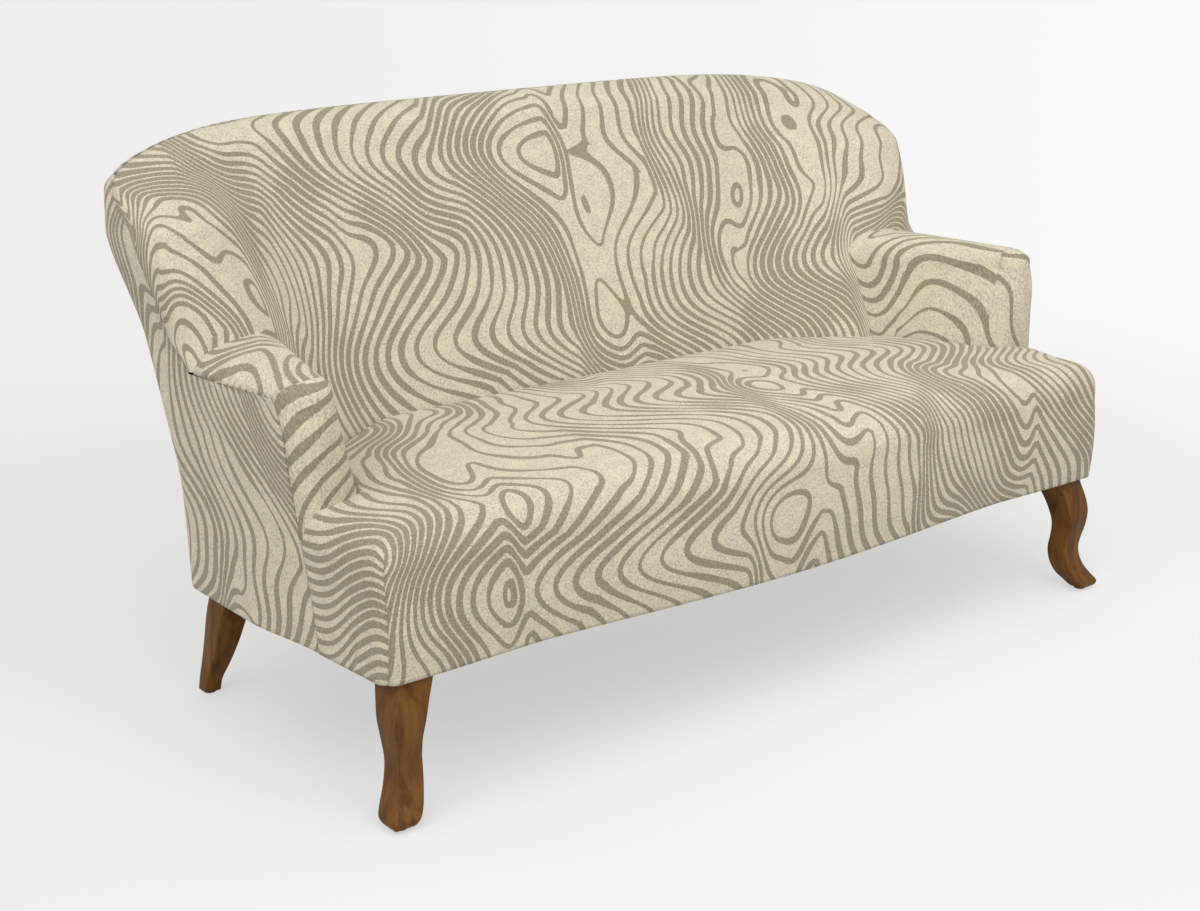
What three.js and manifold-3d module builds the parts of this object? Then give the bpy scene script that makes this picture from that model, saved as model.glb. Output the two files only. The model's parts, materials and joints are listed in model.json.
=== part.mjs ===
// A two-seat cabriole sofa: tight sprung seat, raked back whose ends wrap forward into low arms, and a
// serpentine front on cabriole legs. Lengths are in millimetres. The front faces -Y, +X is the right side
// of a front view, and +Z is up from the floor.
import * as THREE from "three";
import { mergeVertices } from "three/addons/utils/BufferGeometryUtils.js";
import Module from "manifold-3d";

const wasm = await Module();
wasm.setup();

// Fits and materials
const seamGap = 1.2;
const tuckGap = 5;
const seatRearGap = 9;
const panelGap = 5.5;
const rearSeamGap = 4.2;
const touchGap = 0.3;
const nudgeShare = 0.1;
const coverThickness = 2.4;
const cutOverrun = 20;
const foamGap = 0.95;
const seatFoamGap = 1.5;
const foamTailSetback = 7;
const foamInset = coverThickness + foamGap;
const seatFoamInset = coverThickness + seatFoamGap;

// Heights of the upholstered body
const undersideZ = 228;
const seatEdgeZ = 446;
const seatCrown = 27;
const deckZ = 350;
const tuckZ = 372;
const armSeamZ = 617;
const armSeamFall = 3;
const armCrestZ = 642;
const wingWideZ = 795;
const wingTopZ = 880;
const crestZ = 945;

// Inside back: its foot line, its rake and the wings that come forward at both ends
const backFootY = 250;
const backRakeZ = 440;
const backRakeShare = 0.43;
const wingReach = 135;
const wingReachTop = 48;
const wingFadeZ = 800;
const wingFadeHeight = 90;
const cornerStartInset = 440;
const cornerEndInset = 160;
const cornerStartDriftShare = 0.25;
const cornerEndDriftShare = 0.27;
const lumbarSwell = 9;
const backRoll = 50;
const notchRoll = 12;
const notchRollHeight = 45;
const backFoamThickness = 34;

// Front outline of the back
const wingWideX = 860;
const notchInset = 25;
const notchX = wingWideX - notchInset;
const crestSideShare = 4.5;
const crestTopShare = 3;

// Outside back
const rearFootY = 328;
const rearFootZ = 260;
const rearKneeZ = 410;
const rearKneeBlend = 80;
const rearLowerShare = 0.08;
const rearRakeShare = 0.446;
const rearBow = 66;
const rearBowShare = 2.5;
const rearCornerRadius = 60;
const rearRollFade = 100;
const sideWrap = 46;
const sideWrapFade = 90;

// Outside panels of arm and wing
const sideFootInset = 24;
const sideFrontFootInset = 44;
const sideFootX = wingWideX - sideFootInset;
const sideFrontFootX = wingWideX - sideFrontFootInset;
const sideFrontFadeY = 180;

// Arms
const armInnerRearInset = 226;
const armInnerFrontInset = 148;
const armInnerRearX = wingWideX - armInnerRearInset;
const armInnerFrontX = wingWideX - armInnerFrontInset;
const armRearStationY = 165;
const armFrontStationY = -93;
const armLeanZ = 450;
const armLeanRearShare = 0.2;
const armLeanFrontShare = 0.245;
const armRollRear = 60;
const armRollFront = 38;
const armCrestRearInset = 138;
const armCrestFrontInset = 92;
const armCrestRearX = wingWideX - armCrestRearInset;
const armCrestFrontX = wingWideX - armCrestFrontInset;
const noseDepthLow = 30;
const noseDepthHigh = 44;
const noseDepthFoot = 465;
const noseWidth = 85;
const noseWidthShare = 0.8;
const seamTopY = -70;
const seamMidY = -99;
const seamFootY = -140;
const seamMidZ = 530;
const armFoamThickness = 30;

// Seat
const frontY = -309;
const frontBow = 31;
const frontBowShare = 0.7;
const frontFlare = 5;
const serpentineInset = 340;
const serpentineEndInset = 140;
const earFrontInset = 52;
const serpentineX = wingWideX - serpentineInset;
const serpentineEndX = wingWideX - serpentineEndInset;
const earFrontX = wingWideX - earFrontInset;
const earCornerRadius = 30;
const seatRoll = 60;
const seatHiddenRoll = 22;
const frontSwell = 6;
const seatFoamWall = 11;
const crownPeakShare = 0.42;
const crownFrontShare = 0.35;
const crownSideShare = 2.6;

// Timber frame
const railTopZ = 332;
const railBottomZ = 230;
const railThickness = 22;
const railSetback = 16;
const railEndY = 200;
const sideRailFrontY = -272;
const sideRailRearY = 232;
const stretcherHeight = 60;
const stretcherWidth = 28;
const blockLeg = 92;
const blockHeight = 58;
const postInset = 185;
const postX = wingWideX - postInset;
const postWidth = 30;
const postDepth = 40;
const topRailHeight = 75;
const topRailDrop = 32;
const topRailThickness = 24;
const lowRailHeight = 55;
const uprightWidth = 42;
const uprightThickness = 22;
const wingBoardThickness = 15;
const wingBoardInset = 16;
const wingBoardTopDrop = 48;
const wingBoardClearance = 34;
const armPostInset = 59;
const armPostX = wingWideX - armPostInset;
const armPostRearY = -46;
const armPostWidth = 26;
const armPostDepth = 42;
const armBoardTopZ = 580;
const armBoardThickness = 22;
const armBoardInnerInset = 85;
const armBoardInnerX = wingWideX - armBoardInnerInset;
const armBoardReachY = 300;
const armBoardRearY = 322;
const armBoardOuterTrim = 36;
const tackRailBottomZ = 400;
const tackRailHeight = 32;
const tackRailThickness = 18;

// Suspension and cloths
const springCount = 6;
const springEndInset = 335;
const springEndX = wingWideX - springEndInset;
const springWire = 4;
const springHalfWidth = 22;
const springPitch = 46;
const springArch = 11;
const clothThickness = 1.6;
const strapCount = 5;
const strapEndInset = 410;
const strapEndX = wingWideX - strapEndInset;
const strapWidth = 55;
const strapThickness = 2;
const strapDrop = 64;
const dustInset = 9;
const dustSideFrontY = -200;
const dustSideRearY = 262;

// Legs and fittings
const frontLegInset = 81;
const frontLegX = wingWideX - frontLegInset;
const frontLegY = -300;
const frontLegHeights = [7, 16, 30, 48, 66, 85, 104, 133, 162, 192, 214];
const frontLegOuts = [31, 34, 25, 14.5, 8.5, 6, 8, 13.5, 15, 9.5, 3];
const frontLegIns = [6, 13, 24, 32, 36, 37, 35, 34, 40, 50, 60];
const frontLegSoleOut = 25;
const frontLegSoleIn = 3;
const frontLegTopOut = -1;
const frontLegTopIn = 66;
const rearLegInset = 120;
const rearLegX = wingWideX - rearLegInset;
const rearLegY = 270;
const rearLegHeights = [25, 60, 100, 140, 170, 200];
const rearLegOuts = [50, 45.5, 41, 37, 33, 27];
const rearLegIns = [-20, -8, 4, 14, 22, 29];
const rearLegSoleOut = 52;
const rearLegSoleIn = -23;
const rearLegTopOut = 20;
const rearLegTopIn = 33;
const rearLegLeanX = 12;
const rearLegLeanY = -21;
const legEdge = 3;
const legLevels = 18;
const glideThickness = 4;
const glideRadius = 11;
const glideSides = 16;
const boltRadius = 4;
const boltClearance = 0.5;
const boltHeadRadius = 9;
const boltHeadHeight = 5;
const boltFootZ = 192;
const boltSides = 12;
const frontBoltInset = 8;

function clamp01(t) {
  return Math.min(1, Math.max(0, t));
}

function smooth(t) {
  const c = clamp01(t);
  return c * c * (3 - 2 * c);
}

function mix(a, b, t) {
  return a + (b - a) * t;
}

function steps(count) {
  return Array.from({ length: count + 1 }, (_, i) => i / count);
}

// A rise that starts softly at zero and turns into a straight slope over the blend length.
function softRise(t, blend) {
  if (t <= -blend / 2) return 0;
  if (t >= blend / 2) return t;
  return ((t + blend / 2) * (t + blend / 2)) / (2 * blend);
}

// How far a rolled edge has fallen away at a distance inside the outline.
function rollDrop(distance, radius) {
  const a = Math.min(radius, Math.max(0, radius - distance));
  return radius - Math.sqrt(Math.max(0, radius * radius - a * a));
}

// Half width of the body at a height; below the arm seam it widens to the foot
function bodyX(z) {
  if (z < armSeamZ) return mix(sideFootX, notchX, smooth((z - undersideZ) / (armSeamZ - undersideZ)));
  if (z <= wingWideZ) return mix(notchX, wingWideX, smooth((z - armSeamZ) / (wingWideZ - armSeamZ)));
  const t = clamp01((z - wingWideZ) / (crestZ - wingWideZ));
  return wingWideX * (1 - t ** crestTopShare) ** (1 / crestSideShare);
}

function outlineZ(x) {
  const t = clamp01(Math.abs(x) / wingWideX);
  return wingWideZ + (crestZ - wingWideZ) * (1 - t ** crestSideShare) ** (1 / crestTopShare);
}

// Distance from a point of the front view to the outline
function outlineDistance(x, z) {
  const ax = Math.abs(x);
  if (z <= wingWideZ) return bodyX(z) - ax;
  const h = crestZ - wingWideZ;
  const tx = ax / wingWideX;
  const tz = (z - wingWideZ) / h;
  const level = 1 - tx ** crestSideShare - tz ** crestTopShare;
  const slopeX = (crestSideShare * tx ** (crestSideShare - 1)) / wingWideX;
  const slopeZ = (crestTopShare * tz ** (crestTopShare - 1)) / h;
  const steep = Math.hypot(slopeX, slopeZ);
  return steep > 0 ? Math.max(0, level / steep) : wingWideX;
}

// Inside back surface before its edge roll
function insideFlatY(x, z) {
  const up = z - backRakeZ;
  const swell = lumbarSwell * Math.sin(Math.PI * clamp01(up / (crestZ - backRakeZ)));
  const reach = mix(wingReach, wingReachTop, smooth((z - wingFadeZ) / wingFadeHeight));
  const from = wingWideX - cornerStartInset + cornerStartDriftShare * Math.max(0, up);
  const to = wingWideX - cornerEndInset + cornerEndDriftShare * Math.max(0, up);
  const turn = smooth((Math.abs(x) - from) / (to - from));
  return backFootY + backRakeShare * up - swell - reach * turn;
}

// Ratio of the thickness measured along Y to the thickness across the surface
function insideSlopeShare(x, z) {
  const h = seamGap;
  const gx = (insideFlatY(x + h, z) - insideFlatY(x - h, z)) / (2 * h);
  const gz = (insideFlatY(x, z + h) - insideFlatY(x, z - h)) / (2 * h);
  return Math.hypot(1, gx, gz);
}

function backRollAt(z) {
  return mix(notchRoll, backRoll, smooth((z - armSeamZ) / notchRollHeight));
}

function insideY(x, z) {
  return insideFlatY(x, z) + rollDrop(outlineDistance(x, z), backRollAt(z));
}

// Line along the crest and the wings where the inside back meets the outer panels
function edgeLineY(x, z) {
  return insideFlatY(x, z) + backRollAt(z);
}

// Outside back surface before its edge roll
function rearY(x, z) {
  const lower = rearLowerShare * (z - rearFootZ);
  const bend = (rearRakeShare - rearLowerShare) * softRise(z - rearKneeZ, rearKneeBlend);
  return rearFootY + lower + bend - rearBow * Math.abs(x / wingWideX) ** rearBowShare;
}

function rearRadius(x, z) {
  const full = rearY(x, z) - edgeLineY(x, z) - panelGap;
  return mix(rearCornerRadius, full, smooth((z - wingTopZ + rearRollFade) / rearRollFade));
}

function outsideY(x, z) {
  return rearY(x, z) - rollDrop(outlineDistance(x, z), rearRadius(x, z));
}

// How far the side panel wraps round the rear corner
function wrapAt(z) {
  return sideWrap * smooth((wingTopZ - z) / sideWrapFade);
}

// Outer side surface of arm and wing
function sideX(y, z) {
  if (z >= armSeamZ) return bodyX(z);
  const fade = 1 - smooth((y - seamFootY) / sideFrontFadeY);
  const foot = mix(sideFootX, sideFrontFootX, fade);
  return mix(foot, notchX, smooth((z - undersideZ) / (armSeamZ - undersideZ)));
}

// Seam at the front of the outside arm panel
function frontSeamY(z) {
  const t = clamp01((z - seamMidZ) / (armSeamZ - armSeamFall - seamMidZ));
  if (z >= seamMidZ) return mix(seamMidY, seamTopY, t * t);
  return mix(seamFootY, seamMidY, clamp01((z - undersideZ) / (seamMidZ - undersideZ)));
}

// Merges a list of triangles into one indexed body that faces out.
function closedBody(positions) {
  const soup = new THREE.BufferGeometry();
  soup.setAttribute("position", new THREE.Float32BufferAttribute(positions, 3));
  const merged = mergeVertices(soup, 1e-3);
  const index = merged.index.array;
  const kept = [];
  for (let i = 0; i < index.length; i += 3) {
    const [a, b, c] = [index[i], index[i + 1], index[i + 2]];
    if (a !== b && b !== c && c !== a) kept.push(a, b, c);
  }
  const p = merged.attributes.position.array;
  const at = (i) => new THREE.Vector3(p[3 * i], p[3 * i + 1], p[3 * i + 2]);
  let volume = 0;
  for (let i = 0; i < kept.length; i += 3) {
    volume += at(kept[i]).dot(at(kept[i + 1]).cross(at(kept[i + 2])));
  }
  if (volume < 0) kept.reverse();
  merged.setIndex(kept);
  return merged;
}

// A closed solid between two sheets that share one grid of stations.
function betweenSheets(outer, inner, us, vs) {
  const a = us.map((u) => vs.map((v) => outer(u, v)));
  const b = us.map((u) => vs.map((v) => inner(u, v)));
  const positions = [];
  const quad = (p, q, r, s) => positions.push(...p, ...q, ...r, ...p, ...r, ...s);
  const lastU = us.length - 1;
  const lastV = vs.length - 1;
  for (let i = 0; i < lastU; i++) {
    for (let j = 0; j < lastV; j++) {
      quad(a[i][j], a[i + 1][j], a[i + 1][j + 1], a[i][j + 1]);
      quad(b[i][j], b[i][j + 1], b[i + 1][j + 1], b[i + 1][j]);
    }
  }
  for (let i = 0; i < lastU; i++) {
    quad(a[i][0], b[i][0], b[i + 1][0], a[i + 1][0]);
    quad(a[i][lastV], a[i + 1][lastV], b[i + 1][lastV], b[i][lastV]);
  }
  for (let j = 0; j < lastV; j++) {
    quad(a[0][j], a[0][j + 1], b[0][j + 1], b[0][j]);
    quad(a[lastU][j], b[lastU][j], b[lastU][j + 1], a[lastU][j + 1]);
  }
  return closedBody(positions);
}

// Rings of equal length become walls; the last ring is filled in, and the fill is shared by both skins.
function ringSkin(rings, fill, flip) {
  const positions = [];
  const tri = (p, q, r) => (flip ? positions.push(...p, ...r, ...q) : positions.push(...p, ...q, ...r));
  const count = rings[0].length;
  for (let k = 0; k + 1 < rings.length; k++) {
    for (let i = 0; i < count; i++) {
      const j = (i + 1) % count;
      tri(rings[k][i], rings[k][j], rings[k + 1][j]);
      tri(rings[k][i], rings[k + 1][j], rings[k + 1][i]);
    }
  }
  const last = rings[rings.length - 1];
  for (const [a, b, c] of fill) tri(last[a], last[b], last[c]);
  return positions;
}

// The outline is nudged a little while it is filled, so that no point on a straight run is skipped.
function fillOf(ring) {
  const nudge = touchGap * nudgeShare;
  const contour = ring.map(
    ([x, y], i) => new THREE.Vector2(x + nudge * Math.sin(3 * i), y + nudge * Math.cos(5 * i)),
  );
  return THREE.ShapeUtils.triangulateShape(contour, []);
}

// A dome: an outer skin of rings closed underneath by a flat floor with its own outline.
function dome(rings, fill = fillOf(rings[rings.length - 1])) {
  const positions = ringSkin(rings, fill, false);
  const floor = rings[0];
  for (const [a, b, c] of fillOf(floor)) positions.push(...floor[a], ...floor[c], ...floor[b]);
  return closedBody(positions);
}

// A skin of one thickness over a dome, open underneath.
function domeShell(outer, inner, fill) {
  const positions = [...ringSkin(outer, fill, false), ...ringSkin(inner, fill, true)];
  const count = outer[0].length;
  for (let i = 0; i < count; i++) {
    const j = (i + 1) % count;
    positions.push(...outer[0][i], ...inner[0][i], ...inner[0][j]);
    positions.push(...outer[0][i], ...inner[0][j], ...outer[0][j]);
  }
  return closedBody(positions);
}

function toManifold(geometry) {
  const loose = geometry.index ? geometry.toNonIndexed() : geometry;
  const merged = closedBody(Array.from(loose.attributes.position.array));
  return new wasm.Manifold(
    new wasm.Mesh({
      numProp: 3,
      vertProperties: new Float32Array(merged.attributes.position.array),
      triVerts: new Uint32Array(merged.index.array),
    }),
  );
}

function cut(geometry, ...tools) {
  let solid = toManifold(geometry);
  for (const tool of tools) solid = solid.subtract(toManifold(tool));
  const mesh = solid.getMesh();
  const result = new THREE.BufferGeometry();
  result.setAttribute("position", new THREE.BufferAttribute(new Float32Array(mesh.vertProperties), 3));
  result.setIndex(Array.from(mesh.triVerts));
  return result;
}

// A board given by its plan outline between two heights
function boardInPlan(points, bottom, top) {
  const turnsLeft = THREE.ShapeUtils.area(points.map(([x, y]) => new THREE.Vector2(x, y))) > 0;
  const outline = turnsLeft ? points : [...points].reverse();
  return dome([bottom, top].map((z) => outline.map(([x, y]) => [x, y, z])));
}

// A board given by its side view as [y, z] points, from x onwards
function boardInSide(points, x, thickness) {
  const board = boardInPlan(points, 0, thickness);
  board.rotateX(Math.PI / 2);
  board.rotateZ(Math.PI / 2);
  board.translate(x, 0, 0);
  return board;
}

// A board that lies against the outside back, a setback in front of it
function rakedBoard(x0, x1, lowZ, highZ, setback, thickness, across, up) {
  const sheet = (depth) => (u, v) => {
    const x = mix(x0, x1, u);
    const z = mix(lowZ(x), highZ(x), v);
    return [x, outsideY(x, z) - depth, z];
  };
  return betweenSheets(sheet(setback), sheet(setback + thickness), steps(across), steps(up));
}

function block(x0, x1, y0, y1, z0, z1) {
  const box = new THREE.BoxGeometry(x1 - x0, y1 - y0, z1 - z0);
  box.translate((x0 + x1) / 2, (y0 + y1) / 2, (z0 + z1) / 2);
  return box;
}

function mirrored(geometry, side) {
  if (side > 0) return geometry.clone();
  const bare = geometry.index ? geometry.toNonIndexed() : geometry.clone();
  const p = Array.from(bare.attributes.position.array);
  for (let i = 0; i < p.length; i += 3) p[i] = -p[i];
  return closedBody(p);
}

const sides = [
  ["left", -1],
  ["right", 1],
];

const fabricColour = 0xcdc3a6;
const foamColour = 0xe7d9a8;
const clothColour = 0x4b4a46;
const timberColour = 0xc9a877;
const legColour = 0x7a5230;
const steelColour = 0x8d9094;
const nylonColour = 0x2f2d2a;
const matte = 0.95;
const dull = 0.75;
const satin = 0.45;
const polished = 0.35;

function material(color, roughness, metalness) {
  return new THREE.MeshStandardMaterial({ color, roughness, metalness });
}

const sofa = new THREE.Group();
sofa.name = "cabriole_sofa";

function add(name, geometry, color, roughness, metalness = 0) {
  const mesh = new THREE.Mesh(geometry, material(color, roughness, metalness));
  mesh.name = name;
  sofa.add(mesh);
}

// Inside back
const backColumnShares = [0, 0.15, 0.3, 0.42, 0.5, 0.57, 0.64, 0.71, 0.78, 0.85, 0.91, 0.95, 0.98, 1];
const backRowShares = [0, 0.12, 0.25, 0.4, 0.55, 0.68, 0.78, 0.86, 0.91, 0.95, 0.98, 1];
const backColumns = [...backColumnShares.slice(1).reverse().map((s) => -s), ...backColumnShares];

// Lower edge: tucked behind the seat in the middle, lifted behind the arm tops at both ends
function insideBackLowZ(x) {
  const ax = Math.abs(x);
  const lifted = mix(tuckZ, armSeamZ - 2 * cutOverrun, smooth((ax - armInnerRearX) / armRollRear));
  return mix(lifted, armSeamZ + seamGap, smooth((ax - armCrestRearX) / (notchX - armCrestRearX)));
}

function insideBackSheet(inset) {
  return (u, v) => {
    const wide = (wingWideX - inset) * u;
    const z = mix(insideBackLowZ(wide), outlineZ((wide * wingWideX) / (wingWideX - inset)) - inset, v);
    const x = (bodyX(Math.min(z, wingWideZ)) - inset) * u;
    const roll = Math.max(seamGap, backRollAt(z) - inset);
    const drop = rollDrop(Math.max(0, outlineDistance(x, z) - inset), roll);
    return [x, insideFlatY(x, z) + inset * insideSlopeShare(x, z) + drop, z];
  };
}

add(
  "inside_back_cover",
  betweenSheets(insideBackSheet(0), insideBackSheet(coverThickness), backColumns, backRowShares),
  fabricColour,
  matte,
);
add(
  "inside_back_foam",
  betweenSheets(
    insideBackSheet(foamInset),
    insideBackSheet(foamInset + backFoamThickness),
    backColumns,
    backRowShares,
  ),
  foamColour,
  matte,
);

// Outside back
const outsideColumnShares = [0, 0.25, 0.5, 0.7, 0.85, 0.95, 1];
const outsideRowShares = [0, 0.15, 0.3, 0.42, 0.56, 0.7, 0.82, 0.9, 0.94, 0.97, 0.99, 1];
const outsideColumns = [...outsideColumnShares.slice(1).reverse().map((s) => -s), ...outsideColumnShares];

function outsideBackSheet(inset) {
  return (u, v) => {
    const topX = bodyX(wingTopZ) - panelGap;
    const z = mix(undersideZ, outlineZ(topX * u) - inset, v);
    const wide = z < wingTopZ ? bodyX(z) - wrapAt(z) - rearSeamGap : topX;
    const x = wide * u;
    const radius = rearRadius(x, z);
    const drop = rollDrop(Math.max(0, outlineDistance(x, z) - inset), Math.max(seamGap, radius - inset));
    return [x, rearY(x, z) - inset - drop, z];
  };
}

add(
  "outside_back_panel",
  betweenSheets(outsideBackSheet(0), outsideBackSheet(coverThickness), outsideColumns, outsideRowShares),
  fabricColour,
  matte,
);

// Outside panels: the arm part below the arm seam and the wing above it
const sideTopZ = wingTopZ - seamGap;
const sideBandShares = [0, 0.19, 0.4, 0.6, 0.78, 0.89, 1];
const wingBandShares = [0, 0.14, 0.31, 0.5, 0.68, 0.79, 0.89, 0.955, 1];
const sideRowHeights = [
  ...sideBandShares.map((s) => mix(undersideZ, armSeamZ - armSeamFall, s)),
  ...wingBandShares.map((s) => mix(armSeamZ, sideTopZ, s)),
];
const sideRows = sideRowHeights.map((z) => (z - undersideZ) / (sideTopZ - undersideZ));
const sideStraights = 5;
const sideArcs = 5;

function sideFrontY(z) {
  const armTop = armSeamZ - armSeamFall;
  if (z <= armTop) return frontSeamY(z);
  if (z < armSeamZ) return mix(seamTopY, edgeLineY(notchX, armSeamZ), (z - armTop) / armSeamFall);
  return edgeLineY(bodyX(z), z) + panelGap * smooth((wingTopZ - z) / seamGap / panelGap);
}

function sideSheet(inset) {
  return (w, v) => {
    const z = mix(undersideZ, sideTopZ, v);
    const corner = bodyX(z);
    const radius = rearRadius(corner, z);
    const wrap = wrapAt(z);
    const turn = wrap >= radius ? Math.PI / 2 : Math.acos(1 - wrap / radius);
    const centreX = corner - radius;
    const centreY = rearY(centreX, z) - radius;
    if (w <= 1) {
      const y = mix(sideFrontY(z), Math.max(centreY, sideFrontY(z)), w);
      return [sideX(y, z) - inset, y, z];
    }
    if (w <= 2) {
      const a = turn * (w - 1);
      const from = Math.max(centreY, sideFrontY(z));
      return [centreX + (radius - inset) * Math.cos(a), from + (radius - inset) * Math.sin(a), z];
    }
    const x = centreX - Math.max(0, wrap - radius) * (w - 2);
    const lift = turn < Math.PI / 2 ? Math.sin(turn) * (radius - inset) - (radius - inset) : 0;
    const endX = turn < Math.PI / 2 ? centreX + (radius - inset) * Math.cos(turn) : x;
    return [endX, rearY(x, z) - inset + lift, z];
  };
}

const sideStations = [
  ...steps(sideStraights),
  ...steps(sideArcs).slice(1).map((t) => 1 + t),
  3,
];
const sidePanel = betweenSheets(sideSheet(0), sideSheet(coverThickness), sideStations, sideRows);
for (const [side, sign] of sides) {
  add(`outside_side_panel_${side}`, mirrored(sidePanel, sign), fabricColour, matte);
}

// Arms
const armStraightShare = 0.4;
const armRollShare = 0.75;
const armProfileStations = [0, 0.2, 0.4, 0.5, 0.58, 0.66, 0.75, 0.84, 0.92, 1];
const armSweepStations = [0, 0.4, 0.75, 1, 1.12, 1.3, 1.5, 1.7, 1.88, 2];

function armAlongShare(y) {
  return (armRearStationY - y) / (armRearStationY - armFrontStationY);
}

function armFaceX(y, z) {
  const along = armAlongShare(y);
  const lean = mix(armLeanRearShare, armLeanFrontShare, along);
  return mix(armInnerRearX, armInnerFrontX, along) + lean * (z - armLeanZ);
}

// Point of the arm's section at one station; inset moves it into the arm.
function armSection(s, y, inset) {
  const along = armAlongShare(y);
  const rollFootZ = armCrestZ - mix(armRollRear, armRollFront, clamp01(along));
  if (s <= armStraightShare) {
    const z = mix(tuckZ, rollFootZ, s / armStraightShare);
    return [armFaceX(y, z) + inset, z];
  }
  const footX = armFaceX(y, rollFootZ) + inset;
  const crestX = Math.max(mix(armCrestRearX, armCrestFrontX, clamp01(along)), footX + seamGap);
  const top = armCrestZ - inset;
  if (s <= armRollShare) {
    const a = ((s - armStraightShare) / (armRollShare - armStraightShare)) * (Math.PI / 2);
    return [crestX - (crestX - footX) * Math.cos(a), rollFootZ + (top - rollFootZ) * Math.sin(a)];
  }
  const k = (s - armRollShare) / (1 - armRollShare);
  const end = armSeamZ + 2 * seamGap - inset;
  return [mix(crestX, notchX - inset, k), top - (top - end) * k * k];
}

function armRearY(s, inset) {
  let y = armRearStationY;
  for (let i = 0; i < 8; i++) {
    const [x, z] = armSection(s, y, inset);
    y = insideY(Math.min(x, notchX), z) - tuckGap;
  }
  return y;
}

// Point where the arm's nose ends at the front seam of the outside panel
function noseEnd(s, z, inset) {
  const over = clamp01((s - armStraightShare) / (1 - armStraightShare));
  const end = mix(z, armSeamZ + 2 * seamGap, over) - inset * over;
  const seamZ = Math.min(end, armSeamZ - armSeamFall);
  return [sideX(frontSeamY(seamZ), seamZ) - inset, frontSeamY(seamZ) - 2 * tuckGap * (1 - over), end];
}

// Full round on the inner half of the nose, slimmer where it runs into the seam
function noseBulge(a) {
  return a < Math.PI / 2 ? Math.sin(a) : Math.sin(a) ** 2;
}

function noseDepthAt(z, width) {
  const deep = mix(noseDepthLow, noseDepthHigh, (z - noseDepthFoot) / (armSeamZ - noseDepthFoot));
  return deep * Math.min(1, width / noseWidth) ** noseWidthShare;
}

function armSheet(inset) {
  return (s, w) => {
    const blend = smooth((s - armRollShare) / (1 - armRollShare));
    const frontStation = mix(armFrontStationY, seamTopY, blend);
    if (w <= 1) {
      const y = mix(armRearY(s, inset), frontStation, w);
      const [x, z] = armSection(s, y, inset);
      return [x, y, z];
    }
    const a = Math.PI * (w - 1);
    const [x0, z0] = armSection(s, frontStation, inset);
    const rollFootZ = armCrestZ - armRollFront;
    const straightZ = Math.min(armSection(s, frontStation, 0)[1], rollFootZ);
    const [x1, y1, z1] = noseEnd(s, s <= armStraightShare ? straightZ : rollFootZ, inset);
    const outerWidth = noseEnd(s, straightZ, 0)[0] - armSection(s, frontStation, 0)[0];
    const depth = noseDepthAt((z0 + z1) / 2, Math.max(0, outerWidth));
    const reach = Math.max(Math.min(seamGap, depth / 2), depth - inset);
    const endX = Math.max(x1, x0);
    const t = (1 - Math.cos(a)) / 2;
    const endY = s >= 1 ? frontStation : y1;
    const endZ = s >= 1 ? z0 : z1;
    return [mix(x0, endX, t), mix(frontStation, endY, t) - reach * noseBulge(a), mix(z0, endZ, t)];
  };
}

// Seat plan
const seatFrontShares = [0, 0.14, 0.28, 0.42, 0.56, 0.7, 0.84, 1];
const cornerTurns = [0.25, 0.5, 0.75];
const earSideShares = [0, 0.5];
const underNoseShares = [0.97, 0.75, 0.5, 0];
const armFaceShares = [0.35, 0.7, 1];
const seatBackShares = [0.84, 0.7, 0.56, 0.42, 0.22, 0];
const frontHeartY = -110;
const rearHeartY = -60;
const heartXShare = 0.84;
const earHeartInset = 154;
const earHeartX = wingWideX - earHeartInset;
const earHeartY = -243;
const armHeartInset = 300;
const armHeartX = wingWideX - armHeartInset;

function frontPlanY(x) {
  const ax = Math.abs(x);
  const bow = frontBow * smooth(1 - ax / serpentineX) ** frontBowShare;
  return frontY - bow - frontFlare * smooth((ax - serpentineX) / (serpentineEndX - serpentineX));
}

function frontFaceY(x, z) {
  const up = clamp01((z - undersideZ) / (seatEdgeZ - seatRoll - undersideZ));
  return frontPlanY(x) - frontSwell * Math.sin(Math.PI * up);
}

// Corner where the arm's inner face meets the inside back, in plan
function innerCorner(z, inset) {
  let x = armInnerRearX;
  let y = armRearStationY;
  for (let i = 0; i < 12; i++) {
    y = insideFlatY(x, z) - (inset + seatRearGap - tuckGap) * insideSlopeShare(x, z);
    x = armFaceX(y, z) - inset;
  }
  return [x, y];
}

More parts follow.
